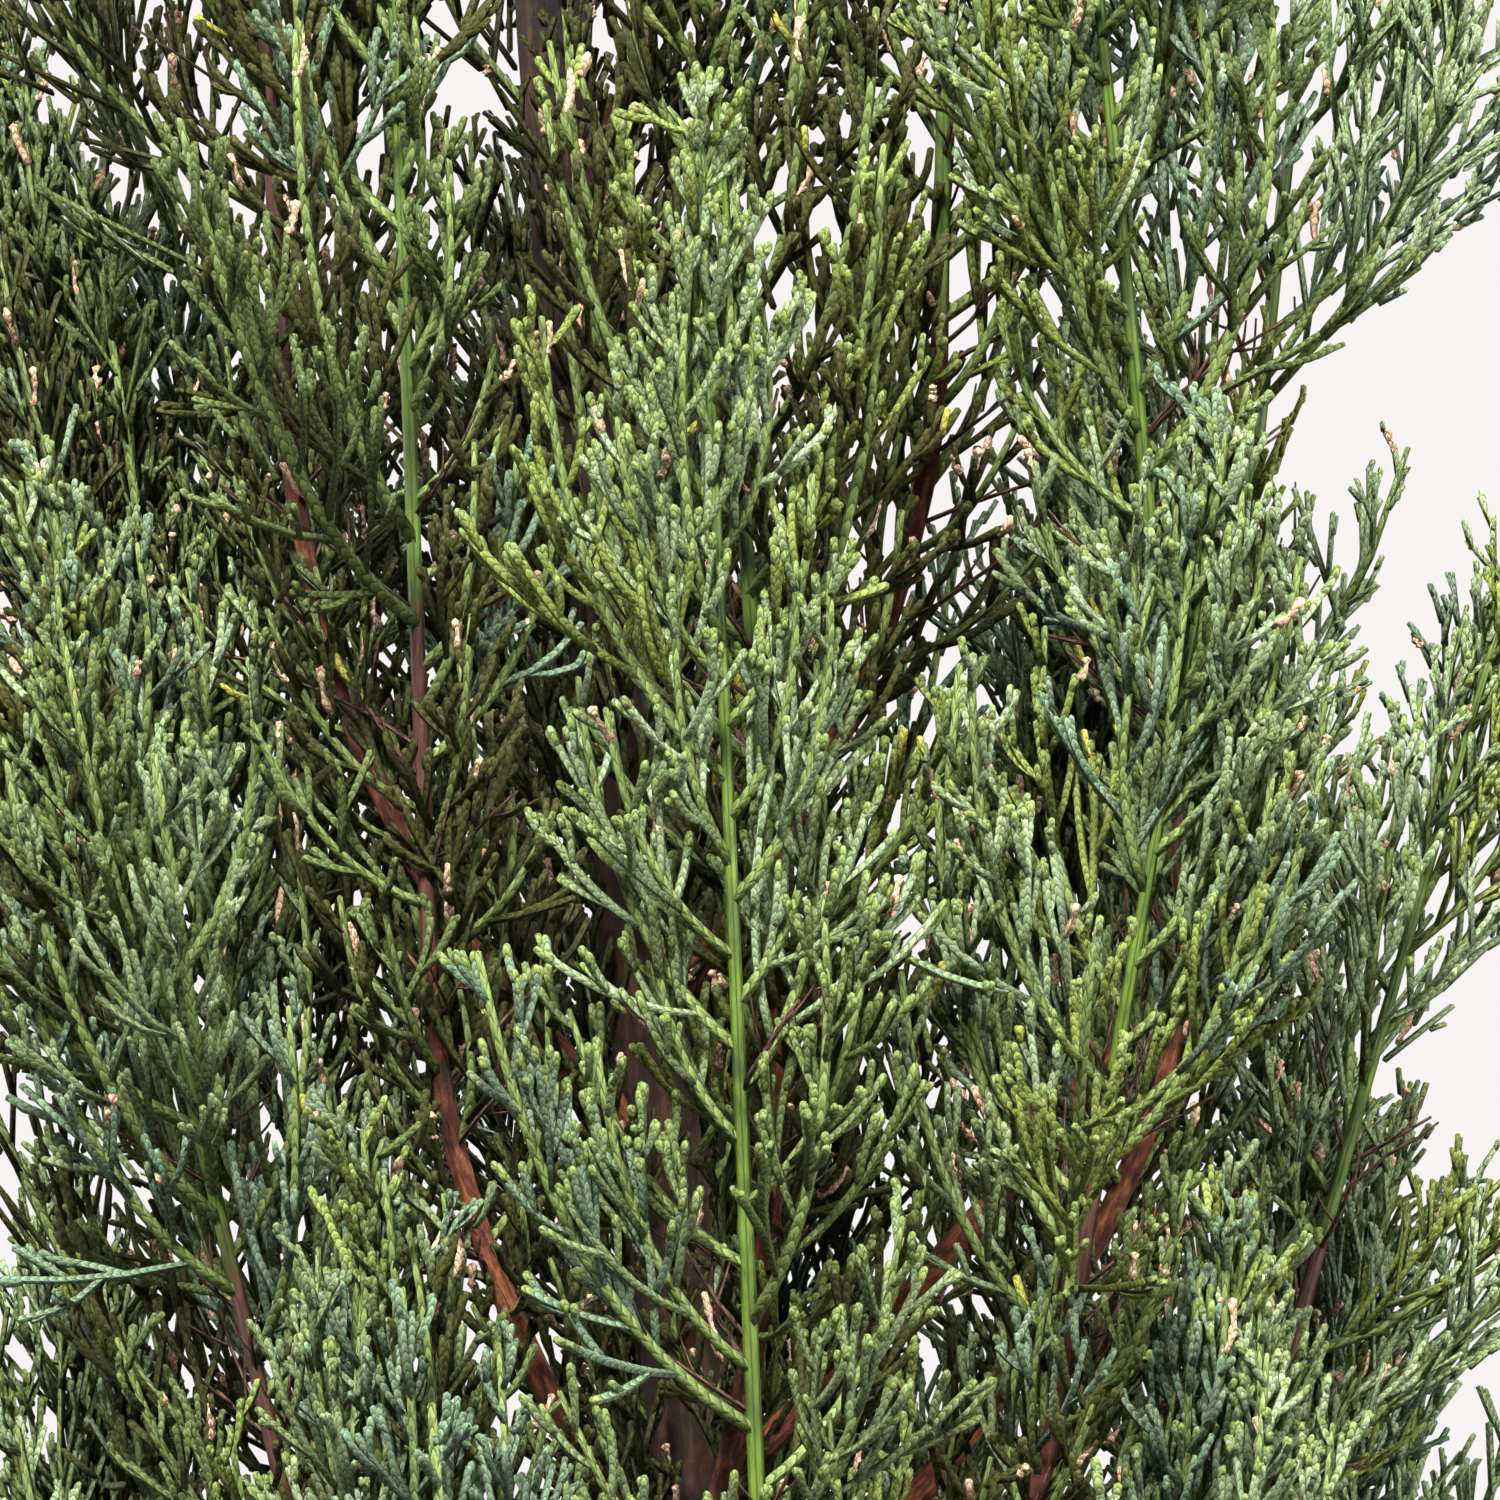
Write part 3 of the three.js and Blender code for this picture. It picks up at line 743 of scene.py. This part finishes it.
def chooseTint(draw, own, share, place):
    # young growth is paler, sprays low on a shoot, on its bough or close to the trunk are deeper: partly
    # older growth, partly painted shade of the crown's inside
    centre = trunkCentre(min(place.z, tree["trunkTop"]))
    # painted shade: sprays near the trunk's line take deeper tints, the nearer the deeper
    innerShade = max(0, 1 - math.hypot(place.x - centre[0], place.y - centre[1]) / inner["dark"])
    # a shoot's paleness paints light on lit shoots and shade on shaded ones; towards its tip a shoot is
    # paler, partly as younger growth and partly as painted light on its upper part
    pick = draw() + ownHabit(own, "slope") * (share - 0.5) + ownHabit(own, "paintedLighting")
    pick -= inner["innerShadeShare"] * innerShade
    other = draw()
    if own in tints["oliveShoots"] and other < tints["oliveBelow"]:
        return "olive"
    if pick < tints["shadeBelow"]:
        return "shade"
    if pick < tints["deepBelow"]:
        return "deep"
    if pick < tints["middleBelow"]:
        return "sage" if other < tints["sageBelow"] else "blue"
    return "pale" if other > tints["paleAbove"] else "olive"


def rolled(heading, out, draw):
    # the direction across a spray, turned by chance about its heading
    across = heading.cross(out).normalized()
    across.rotate(Quaternion(heading, math.radians(spread(draw, spray["roll"]))))
    return across


def sprayFrom(line, t, turn, lean, length, own, draw, age):
    centre, direction, side, front = line.frame(t)
    out = around(side, front, turn)
    heading = around(direction, out, lean).normalized()
    across = rolled(heading, out, draw)
    growSpray(centre, heading, across, length, own, draw, chooseTint(draw, own, age, centre), direction)


def nextTurn(number, draw):
    return number * foliage["goldenAngle"] + spread(draw, foliage["turnSpread"])


def innerLean(draw):
    return math.radians(inner["lean"] + spread(draw, inner["leanSpread"]))


def growMass(own):
    shoot = shoots[own]
    stem, begin = shoot["stem"], shoot["from"]
    draw = seededRandom(seeds["mass"] + own * seeds["massStep"])
    length = (shoot["tip"] - shoot["foot"]).length
    spacing = ownHabit(own, "spacing")
    if shoot["foot"].y > 0 and window["backLow"] < shoot["foot"].z < window["backHigh"]:
        spacing *= spray["backSpacing"]
    share, number = spray["first"], 0
    while share < spray["last"]:
        turn = nextTurn(number, draw)
        width = 1
        if draw() < ownHabit(own, "sideways"):
            turn = math.pi + spray["sideTurn"] if number % 2 else -spray["sideTurn"]
            turn += spread(draw, spray["sideSpread"])
            width = ownHabit(own, "width")
        lean = between(spray["leanLow"], spray["leanTop"], share)
        lean += spread(draw, spray["leanSpread"])
        reach = shoot["reach"] * width * (1 - foliage["topNarrowing"] * share)
        size = reach * spray["sideReach"] * vary(draw, *spray["size"])
        size = min(size, spray["tipLength"] + spray["tipShare"] * (1 - share) * length * width)
        t = between(begin, 1, share)
        if around(*stem.frame(t)[2:], turn).x > 0:
            size *= ownHabit(own, "inward")
        sprayFrom(stem, t, turn, math.radians(lean), size, own, draw, share)
        every = between(spray["everyLow"] * spacing, spray["everyTop"], share)
        share += every * vary(draw, *spray["step"]) / length
        number += 1
    sprayFrom(stem, endSpray["at"], 0, endSpray["lean"], endSpray["length"], own, draw, 1)
    if "limb" in shoot:
        rule = inner["onBough"]
        limbLength = shoot["limb"].length()
        t = rule["last"]
        while t > shoot["limbStart"] + rule["first"]:
            turn = nextTurn(number, draw)
            size = rule["length"] * vary(draw, *rule["size"]) * min(1, t + rule["full"])
            sprayFrom(shoot["limb"], t, turn, innerLean(draw), size, own, draw, rule["age"])
            t -= rule["every"] * vary(draw, *inner["step"]) / limbLength
            number += 1


def growOnTrunk():
    # short sprays straight from the trunk, each in the space of the shoot that is nearest to it
    rule, bare = inner["onTrunk"], inner["bare"]
    draw = seededRandom(seeds["trunk"])
    z, number = rule["first"], 0
    while z < tree["trunkTop"] - rule["left"]:
        centre, direction, side, front = trunkLine.frame(trunkLine.shareAt(z))
        out = around(side, front, nextTurn(number, draw))
        heading = around(direction, out, innerLean(draw)).normalized()
        size = rule["length"] * vary(draw, *rule["size"])
        size *= 1 + rule["fuller"] * math.exp(-(((z - rule["fullerHeight"]) / rule["fullerSpread"]) ** 2))
        middle = np.array(centre + heading * (size * rule["middle"]))
        own = int(((shootPoints - middle) ** 2).sum(-1).min(1).argmin())
        root = centre + out * (trunkRadius(z) * rule["root"])
        across = rolled(heading, out, draw)
        if not (bare["from"] < z < bare["to"] and out.y < 0 and out.x < bare["right"]):
            tint = chooseTint(draw, own, rule["age"], root)
            growSpray(root, heading, across, size, own, draw, tint, direction)
        z += rule["every"] * vary(draw, *inner["step"])
        number += 1


for own in range(len(shoots)):
    growMass(own)
growOnTrunk()
print("sprays grown:", len(axes), "axes,", len(cords), "cords")


# every twig is a closed tube: a point sunk in what carries it, rings of corners and a blunt tip
tube = dict(sunk=0.8, blunt=0.5, tipRise=0.3)
detailLevels = dict(
    fine=dict(sides=6, rings=6),
    close=dict(sides=4, rings=4),
    behind=dict(sides=3, rings=2),
    away=dict(sides=3, rings=2),
)


def columnOf(rows, name):
    return np.array([getattr(row, name) for row in rows])[:, None]


def beside(*columns):
    return np.stack(columns, axis=-1)


def unit(vectors):
    return vectors / np.linalg.norm(vectors, axis=-1, keepdims=True)


def tubeMesh(name, rows, shares, widths, sides, perUnit):
    # rows of lines become tubes in one joined mesh; shares and widths have a column for each ring
    start, heading, curl = (columnOf(rows, part) for part in ("start", "heading", "curl"))
    length = columnOf(rows, "length")
    count, ringCount = shares.shape
    t = shares[..., None]
    centre = start + (heading * t + curl * (t * t / 2)) * length[..., None]
    tangent = unit(heading + curl * t)
    side = np.broadcast_to(unit(np.cross(heading, curl)), tangent.shape)
    front = np.cross(tangent, side)
    angle = np.arange(sides) / sides * 2 * math.pi
    ring = side[:, :, None] * np.cos(angle)[:, None] + front[:, :, None] * np.sin(angle)[:, None]
    corners = centre[:, :, None] + ring * widths[..., None, None]
    root = centre[:, :1] - tangent[:, :1] * (widths[:, :1, None] * tube["sunk"])
    tip = centre[:, -1:] + tangent[:, -1:] * (widths[:, -1:, None] * tube["blunt"])
    points = np.concatenate([root, corners.reshape(count, -1, 3), tip], axis=1)
    # four-sided faces between rings, then a fan of three-sided ones at each end
    perRow = ringCount * sides + 2
    k = np.arange(sides)
    nextK = (k + 1) % sides
    level = 1 + np.arange(ringCount - 1)[:, None] * sides
    quads = beside(level + k, level + nextK, level + sides + nextK, level + sides + k).reshape(-1, 4)
    last = 1 + (ringCount - 1) * sides
    fans = np.concatenate([beside(np.zeros(sides, int), 1 + nextK, 1 + k),
                           beside(last + k, last + nextK, np.full(sides, perRow - 1))])
    base = np.arange(count)[:, None, None] * perRow
    loops = np.concatenate([(quads + base).reshape(-1), (fans + base).reshape(-1)])
    corner = np.concatenate([np.full(count * len(quads), 4), np.full(count * len(fans), 3)])
    # UV map: turn round the tube, and leaf lengths along it
    along = shares * length / perUnit
    low, high = along[:, :-1, None, None], along[:, 1:, None, None]
    quadU = np.broadcast_to(beside(k, k + 1, k + 1, k) / sides, (count, ringCount - 1, sides, 4))
    quadV = np.broadcast_to(np.concatenate([low, low, high, high], axis=-1), quadU.shape)
    fanU = np.concatenate([beside(k + 0.5, k + 1, k), beside(k, k + 1, k + 0.5)]) / sides
    fanU = np.broadcast_to(fanU, (count, 2 * sides, 3))
    ones = np.ones((1, sides, 3))
    end = along[:, -1:, None] + [[0, 0, tube["tipRise"]]] * ones
    fanV = np.concatenate([along[:, :1, None] * ones, end], axis=1)
    uv = np.concatenate([beside(quadU, quadV).reshape(-1, 2), beside(fanU, fanV).reshape(-1, 2)])
    mesh = bpy.data.meshes.new(name)
    mesh.vertices.add(len(points) * perRow)
    mesh.vertices.foreach_set("co", (points.reshape(-1) * mm).astype(np.float32))
    mesh.loops.add(len(loops))
    mesh.loops.foreach_set("vertex_index", loops.astype(np.int32))
    mesh.polygons.add(len(corner))
    mesh.polygons.foreach_set("loop_start", (np.cumsum(corner) - corner).astype(np.int32))
    mesh.polygons.foreach_set("loop_total", corner.astype(np.int32))
    mesh.polygons.foreach_set("use_smooth", np.ones(len(corner), bool))
    mesh.uv_layers.new(name="UVMap").data.foreach_set("uv", uv.astype(np.float32).reshape(-1))
    mesh.update(calc_edges=True)
    made["triangles"] += int((corner - 2).sum())
    return mesh


# material, slot, and the colours of darker patches, lighter patches and leaf edges, the last being the pale
# bloom and the painted highlight on each scale leaf's raised tip
looks = dict(
    pale=("paleCords", "foliage_blue_green", (68, 76, 36), (86, 102, 76), (120, 134, 102)),
    sage=("sageCords", "foliage_blue_green", (52, 58, 20), (69, 80, 54), (97, 109, 78)),
    blue=("blueCords", "foliage_blue_green", (43, 54, 32), (63, 80, 60), (94, 111, 88)),
    deep=("deepCords", "foliage_deep_green", (38, 43, 11), (54, 64, 33), (81, 92, 53)),
    shade=("shadeCords", "foliage_deep_green", (22, 21, 5), (38, 39, 13), (56, 58, 24)),
    olive=("oliveCords", "foliage_mid_green", (55, 61, 17), (80, 88, 36), (106, 116, 60)),
    tips=("cordTips", "foliage_mid_green", (56, 65, 25), (78, 90, 45), (102, 114, 66)),
    axis=("sprayAxes", "foliage_mid_green", (46, 54, 20), (71, 83, 42), (97, 109, 62)),
    golden=("goldenCords", "foliage_mid_green", (76, 76, 20), (118, 116, 40), (150, 148, 70)),
    dead=("deadCords", "foliage_mid_green", (92, 64, 44), (152, 120, 94), (188, 164, 138)),
    twig=("bareTwigs", "bough_bark", (24, 15, 10), (54, 36, 26), (84, 64, 50)),
)
materials, slots = {}, {}
for tint, (name, slot, *colours) in looks.items():
    roughness = cordLook["dryRoughness" if tint in ("dead", "twig") else "roughness"]
    materials[tint] = cordMaterial(name, *[rgb(*colour) for colour in colours], roughness)
    slots[tint] = slot
foliageTints = ["pale", "sage", "blue", "deep", "olive", "shade"]
foliageNodes = [f"foliage_{i + 1:02d}" for i in range(len(shoots) - 1)] + ["leader_foliage"]
largestPiece = 180000
rng = np.random.default_rng(seeds["cords"])
made = dict(triangles=0)


def addTubes(name, rows, shares, widths, sides, tint, perUnit=scaleLeaf["length"]):
    perPiece = largestPiece // (2 * sides * shares.shape[1])
    for part, first in enumerate(range(0, len(rows), perPiece)):
        chosen = slice(first, first + perPiece)
        mesh = tubeMesh(f"{name}{part + 1}", rows[chosen], shares[chosen], widths[chosen], sides, perUnit)
        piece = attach(addObject(mesh, materials[tint]), "root")
        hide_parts(*foliageNodes)


def addEvenTubes(name, rows, tint, rule):
    # tubes with rings at even distances, which taper towards their end or are uneven
    shares = np.tile(np.linspace(0, rule["last"], rule["rings"]), (len(rows), 1))
    widths = rule["foot"] - rule["taper"] * shares
    if "uneven" in rule:
        widths = rng.uniform(*rule["uneven"], shares.shape)
    widths = columnOf(rows, "radius") * widths
    widths[:, -1] *= rule["end"]
    addTubes(name, rows, shares, widths, rule["sides"], tint, rule["grain"])


cord = dict(first=0.03, last=0.97, blunt=0.5, foot=0.92, swell=0.13, uneven=0.08, end=0.82)


def makeCords(rows, tint, detail):
    level = detailLevels[detail]
    length, radius = columnOf(rows, "length"), columnOf(rows, "radius")
    end = np.minimum(cord["last"], 1 - cord["blunt"] * radius / length)
    shares = np.linspace(cord["first"], 1, level["rings"])[None] * end
    widths = radius * (cord["foot"] + cord["swell"] * shares)
    if detail in ("fine", "close"):
        widths *= 1 + rng.uniform(-cord["uneven"], cord["uneven"], shares.shape)
    widths[:, -1] *= cord["end"]
    addTubes(f"{tint}Cords_{detail}", rows, shares, widths, level["sides"], tint)


# rings of a tip: where they are on it and how wide
tips = dict(
    size=(1.2, 2.6), largestShare=0.5,
    fine=((0.0, 0.55, 0.95), (1.0, 1.06, 0.74)), close=((0.1, 0.93), (1.05, 0.86)),
)


def makeTips(rows, tint, detail):
    # the youngest leaves at the end of each cord are lighter
    size = rng.uniform(*tips["size"], (len(rows), 1))
    at, wide = (np.array([row]) for row in tips[detail])
    shares = 1 - np.minimum(tips["largestShare"], size / columnOf(rows, "length")) * (1 - at)
    widths = columnOf(rows, "radius") * wide
    addTubes(f"tips_{tint}_{detail}", rows, shares, widths, detailLevels[detail]["sides"], "tips")


# what becomes of each cord: many die near the trunk and few further out, and a few near it turn yellow
fates = dict(nearTrunk=75, deadNear=0.048, deadFar=0.022, goldenAbove=0.9935)
fate = rng.random(len(cords))
near = np.array([math.hypot(line.start.x, line.start.y) < fates["nearTrunk"] for line in cords])
dead = fate < np.where(near, fates["deadNear"], fates["deadFar"])
golden = (fate > fates["goldenAbove"]) & near
green = [line for line, gone in zip(cords, dead | golden) if not gone]
for detail in detailLevels:
    for tint in foliageTints:
        rows = [line for line in green if line.tint == tint and line.detail == detail]
        if rows:
            makeCords(rows, tint, detail)
            if detail == "fine" or (detail == "close" and tint in ("pale", "olive")):
                makeTips(rows, tint, detail)
        print(tint, detail, len(rows), "cords,", made["triangles"], "triangles so far")

axisRule = dict(last=0.985, foot=1.1, taper=0.4, end=0.8, grain=1.9)
axisLevels = dict(near=dict(rings=9, sides=5), far=dict(rings=5, sides=3))


def makeAxes():
    # the axis of each spray, a thicker green cord that runs out into its last leaves
    for name, level in axisLevels.items():
        rows = [line for line in axes if (line.detail in ("fine", "close")) == (name == "near")]
        addEvenTubes(f"sprayAxes_{name}", rows, "axis", {**axisRule, **level})


# a few yellowed twigs among the older sprays, and dried tips: short, shrivelled and uneven
goldenRule = dict(
    curl=1, longest=5, shorter=1, thinner=0.9, last=0.95, rings=4, sides=5, foot=1.1, taper=0.1, end=1,
    grain=scaleLeaf["length"],
)
deadRule = dict(
    curl=1.8, longest=7, shorter=0.75, thinner=0.95, last=0.96, rings=7, sides=5, foot=1, taper=0,
    uneven=(0.45, 1.4), end=1, grain=0.9,
)


def makeChanged(name, chosen, tint, rule):
    rows = [line._replace(curl=line.curl * rule["curl"], radius=line.radius * rule["thinner"],
                          length=min(line.length, rule["longest"]) * rule["shorter"])
            for line, change in zip(cords, chosen) if change]
    addEvenTubes(name, rows, tint, rule)


twigRule = dict(
    perLine=9, onStem=(0.02, 0.4), onBough=(0.45, 1), lean=(0.8, 0.6), curl=0.6, length=(8, 18),
    radius=(0.3, 0.15), forksAt=(0.4, 0.7), forkRise=0.4, forkLean=0.9, forkCurl=0.3, forkLength=(4, 5),
    forkRadius=0.24, last=1, rings=4, sides=3, foot=1.15, taper=0.5, end=1, grain=3,
)


def makeTwigs():
    # bare brown twigs near the stems, left from old sprays
    draw, rule, rows = seededRandom(seeds["twigs"]), twigRule, []
    for shoot in shoots:
        for line, (low, high) in ((shoot["stem"], rule["onStem"]), (shoot.get("limb"), rule["onBough"])):
            for j in range(rule["perLine"] if line else 0):
                centre, direction, side, front = line.frame(between(low, high, draw()))
                out = around(side, front, draw() * 2 * math.pi)
                heading = (direction + out * vary(draw, *rule["lean"])).normalized()
                curl = square(heading, zAxis) * spread(draw, rule["curl"])
                length = vary(draw, *rule["length"])
                bare = Line(centre, heading, curl, length, vary(draw, *rule["radius"]))
                rows.append(bare)
                for t in rule["forksAt"]:
                    aside = square(heading, Vector((spread(draw, 1), spread(draw, 1), rule["forkRise"])))
                    forked = (lineHeading(bare, t) + aside * rule["forkLean"]).normalized()
                    curl = square(forked, zAxis) * rule["forkCurl"]
                    length = vary(draw, *rule["forkLength"])
                    rows.append(Line(linePoint(bare, t), forked, curl, length, rule["forkRadius"]))
    addEvenTubes("bareTwigs", rows, "twig", rule)


makeAxes()
makeChanged("goldenTwigs", golden, "golden", goldenRule)
makeChanged("deadTips", dead, "dead", deadRule)
makeTwigs()
print("axes, dead tips and bare twigs joined,", made["triangles"], "triangles so far")

# stems of the shoots
stemLook = dict(
    roughness=0.5, specular=0.35, leafStretch=(1, 1 / 7, 1), patches=(140, 3), patchFade=(0.35, 0.65),
    fibres=(2.2, 0.3, 1, 5), fibreFade=(0.4, 0.6, 1, 0), barkDark=0.4, sideSeam=(0.36, 0.5, 0, 0.8),
    footSeam=(0, 0.07, 0.8, 0), seamDark=0.35, patchWobble=0.6, woodyFade=(0.72, 0.88), riseBump=0.4,
    asideBump=1.5, bump=0.9, bumpHeight=0.0003, colours=((58, 31, 20), (36, 52, 10), (68, 88, 22)),
)
stem = dict(
    sides=10, rings=60, sunkInBough=0.008, sunkInTrunk=0.03, ribs=0.09, ribCount=4,
    knots=0.06, knotsAlong=30, knotsApart=3.7, layer=0, ageFall=5,
    woodyShare={0: 0.0, 1: 0.05, 2: 0.1, 3: 0.03, 8: 0.14}, otherWoody=0.3,
)


def stemMaterial(name):
    # a shoot's stem: thin bark at its foot, then green, where long leaf bases run down it with dark seams
    look = stemLook
    material, nodes = newMaterial(name, look["roughness"], look["specular"])
    bark, green, fresh = (rgb(*colour) for colour in look["colours"])
    stretched = {0: nodes.place["UV"], 1: look["leafStretch"]}
    longer = nodes.put("ShaderNodeVectorMath", stretched, operation="MULTIPLY").outputs[0]
    rise, aside = scalePattern(nodes, nodes.split(longer))
    age = nodes.put("ShaderNodeAttribute", attribute_name="age").outputs["Fac"]
    patches = nodes.spots(*look["patches"])
    fibres = fibreNoise(nodes, *look["fibres"])
    leafy = nodes.mix(nodes.fade(patches, *look["patchFade"]), green, fresh)
    seam = darker(green, look["seamDark"])
    leafy = nodes.mix(nodes.fade(aside, *look["sideSeam"]), leafy, seam)
    leafy = nodes.mix(nodes.fade(rise, *look["footSeam"]), leafy, seam)
    barky = nodes.mix(nodes.fade(fibres, *look["fibreFade"]), bark, darker(bark, look["barkDark"]))
    wobble = nodes.plus(age, nodes.times(patches, look["patchWobble"]))
    colour = nodes.mix(nodes.fade(wobble, *look["woodyFade"]), leafy, barky)
    sunk = nodes.calc("SUBTRACT", fibres, nodes.times(aside, look["asideBump"]))
    height = nodes.plus(nodes.times(rise, look["riseBump"]), sunk)
    nodes.dress(colour, height, look["bump"], look["bumpHeight"])
    return material


def makeStems():
    bm = bmesh.new()
    for number, shoot in enumerate(shoots):
        woodyShare = stem["woodyShare"].get(number, stem["otherWoody"])

        def radiusAt(share, angle, centre, shoot=shoot, number=number):
            plain = between(shoot["stemRadius"], foliage["tipRadius"], share)
            ribs = 1 + stem["ribs"] * math.cos(stem["ribCount"] * angle)
            return plain * ribs * knots(share, number, stem)

        def age(share, woodyShare=woodyShare):
            return max(0, min(1, 0.5 + (woodyShare - share) * stem["ageFall"])) if woodyShare else 0
        start = shoot["from"] - stem["sunkInBough" if "limb" in shoot else "sunkInTrunk"]
        limbInto(bm, shoot["stem"], radiusAt, stem, start, age)
    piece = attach(addObject(meshFrom(bm, "shootStems"), stemMaterial("shootStem")), "root")
    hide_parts(*foliageNodes)


makeStems()
print("stems made")

# floor, in metres
floorSize = dict(radius=1.3, sides=128)
floorLook, floorNodes = newMaterial("paleFloor", 0.7, 0.2)
floorColour = floorNodes.mix(floorNodes.spots(3, 2), rgb(84, 83, 82), rgb(88, 87, 86))
floorNodes.feed(floorNodes.shader.inputs["Base Color"], floorColour)
floorMesh = bmesh.new()
bmesh.ops.create_circle(floorMesh, cap_ends=True, segments=floorSize["sides"], radius=floorSize["radius"])
floor = addObject(meshFrom(floorMesh, "floor"), floorLook)

# a white backdrop all round that gives only a little light itself, most of it from just above the horizon
backdrop = (0.94, 0.9, 0.9, 1)
glow = [(0.0, (0.04, 0.037, 0.026, 1)), (0.15, (0.25, 0.235, 0.14, 1)), (0.5, (0.1, 0.096, 0.076, 1))]
scene.view_settings.view_transform = "Standard"
world = bpy.data.worlds.new("studio")
world.use_nodes = True
sky = Nodes(world, "Background")
upward = sky.split(sky.place["Generated"])[2]
seen = sky.put("ShaderNodeLightPath").outputs["Is Camera Ray"]
sky.feed(sky.shader.inputs[0], sky.mix(seen, sky.ramp(upward, *glow), backdrop))
scene.world = world

# name, place, aim, size in metres and power in watts
lights = [
    ("key", (-0.4, -1.65, 1.95), (0, 0, 0.45), 0.7, 375),
    ("fill", (1.8, -1.2, 0.9), (0, 0, 0.45), 1.2, 118),
    ("rear", (0.6, 2.0, 1.6), (0, 0, 0.5), 1.6, 230),
    ("left", (-2.0, 0.8, 1.1), (0, 0, 0.45), 1.4, 62),
]
for name, place, aim, size, power in lights:
    lamp = bpy.data.lights.new(name, "AREA")
    lamp.shape = "DISK"
    lamp.size = size
    lamp.energy = power
    holder = bpy.data.objects.new(name, lamp)
    holder.location = place
    holder.visible_camera = False
    holder.rotation_euler = (Vector(aim) - Vector(place)).to_track_quat("-Z", "Y").to_euler()
    scene.collection.objects.link(holder)

view = dict(height=0.427, distance=1.3, lens=240, sensor=36, nearest=0.01, furthest=100)
cameraData = bpy.data.cameras.new("camera")
cameraData.lens = view["lens"]
cameraData.sensor_width = view["sensor"]
cameraData.clip_start = view["nearest"]
cameraData.clip_end = view["furthest"]
camera = bpy.data.objects.new("camera", cameraData)
camera.location = (0, -view["distance"], view["height"])
camera.rotation_euler = (math.pi / 2, 0, 0)
scene.collection.objects.link(camera)
scene.camera = camera
print("studio made")
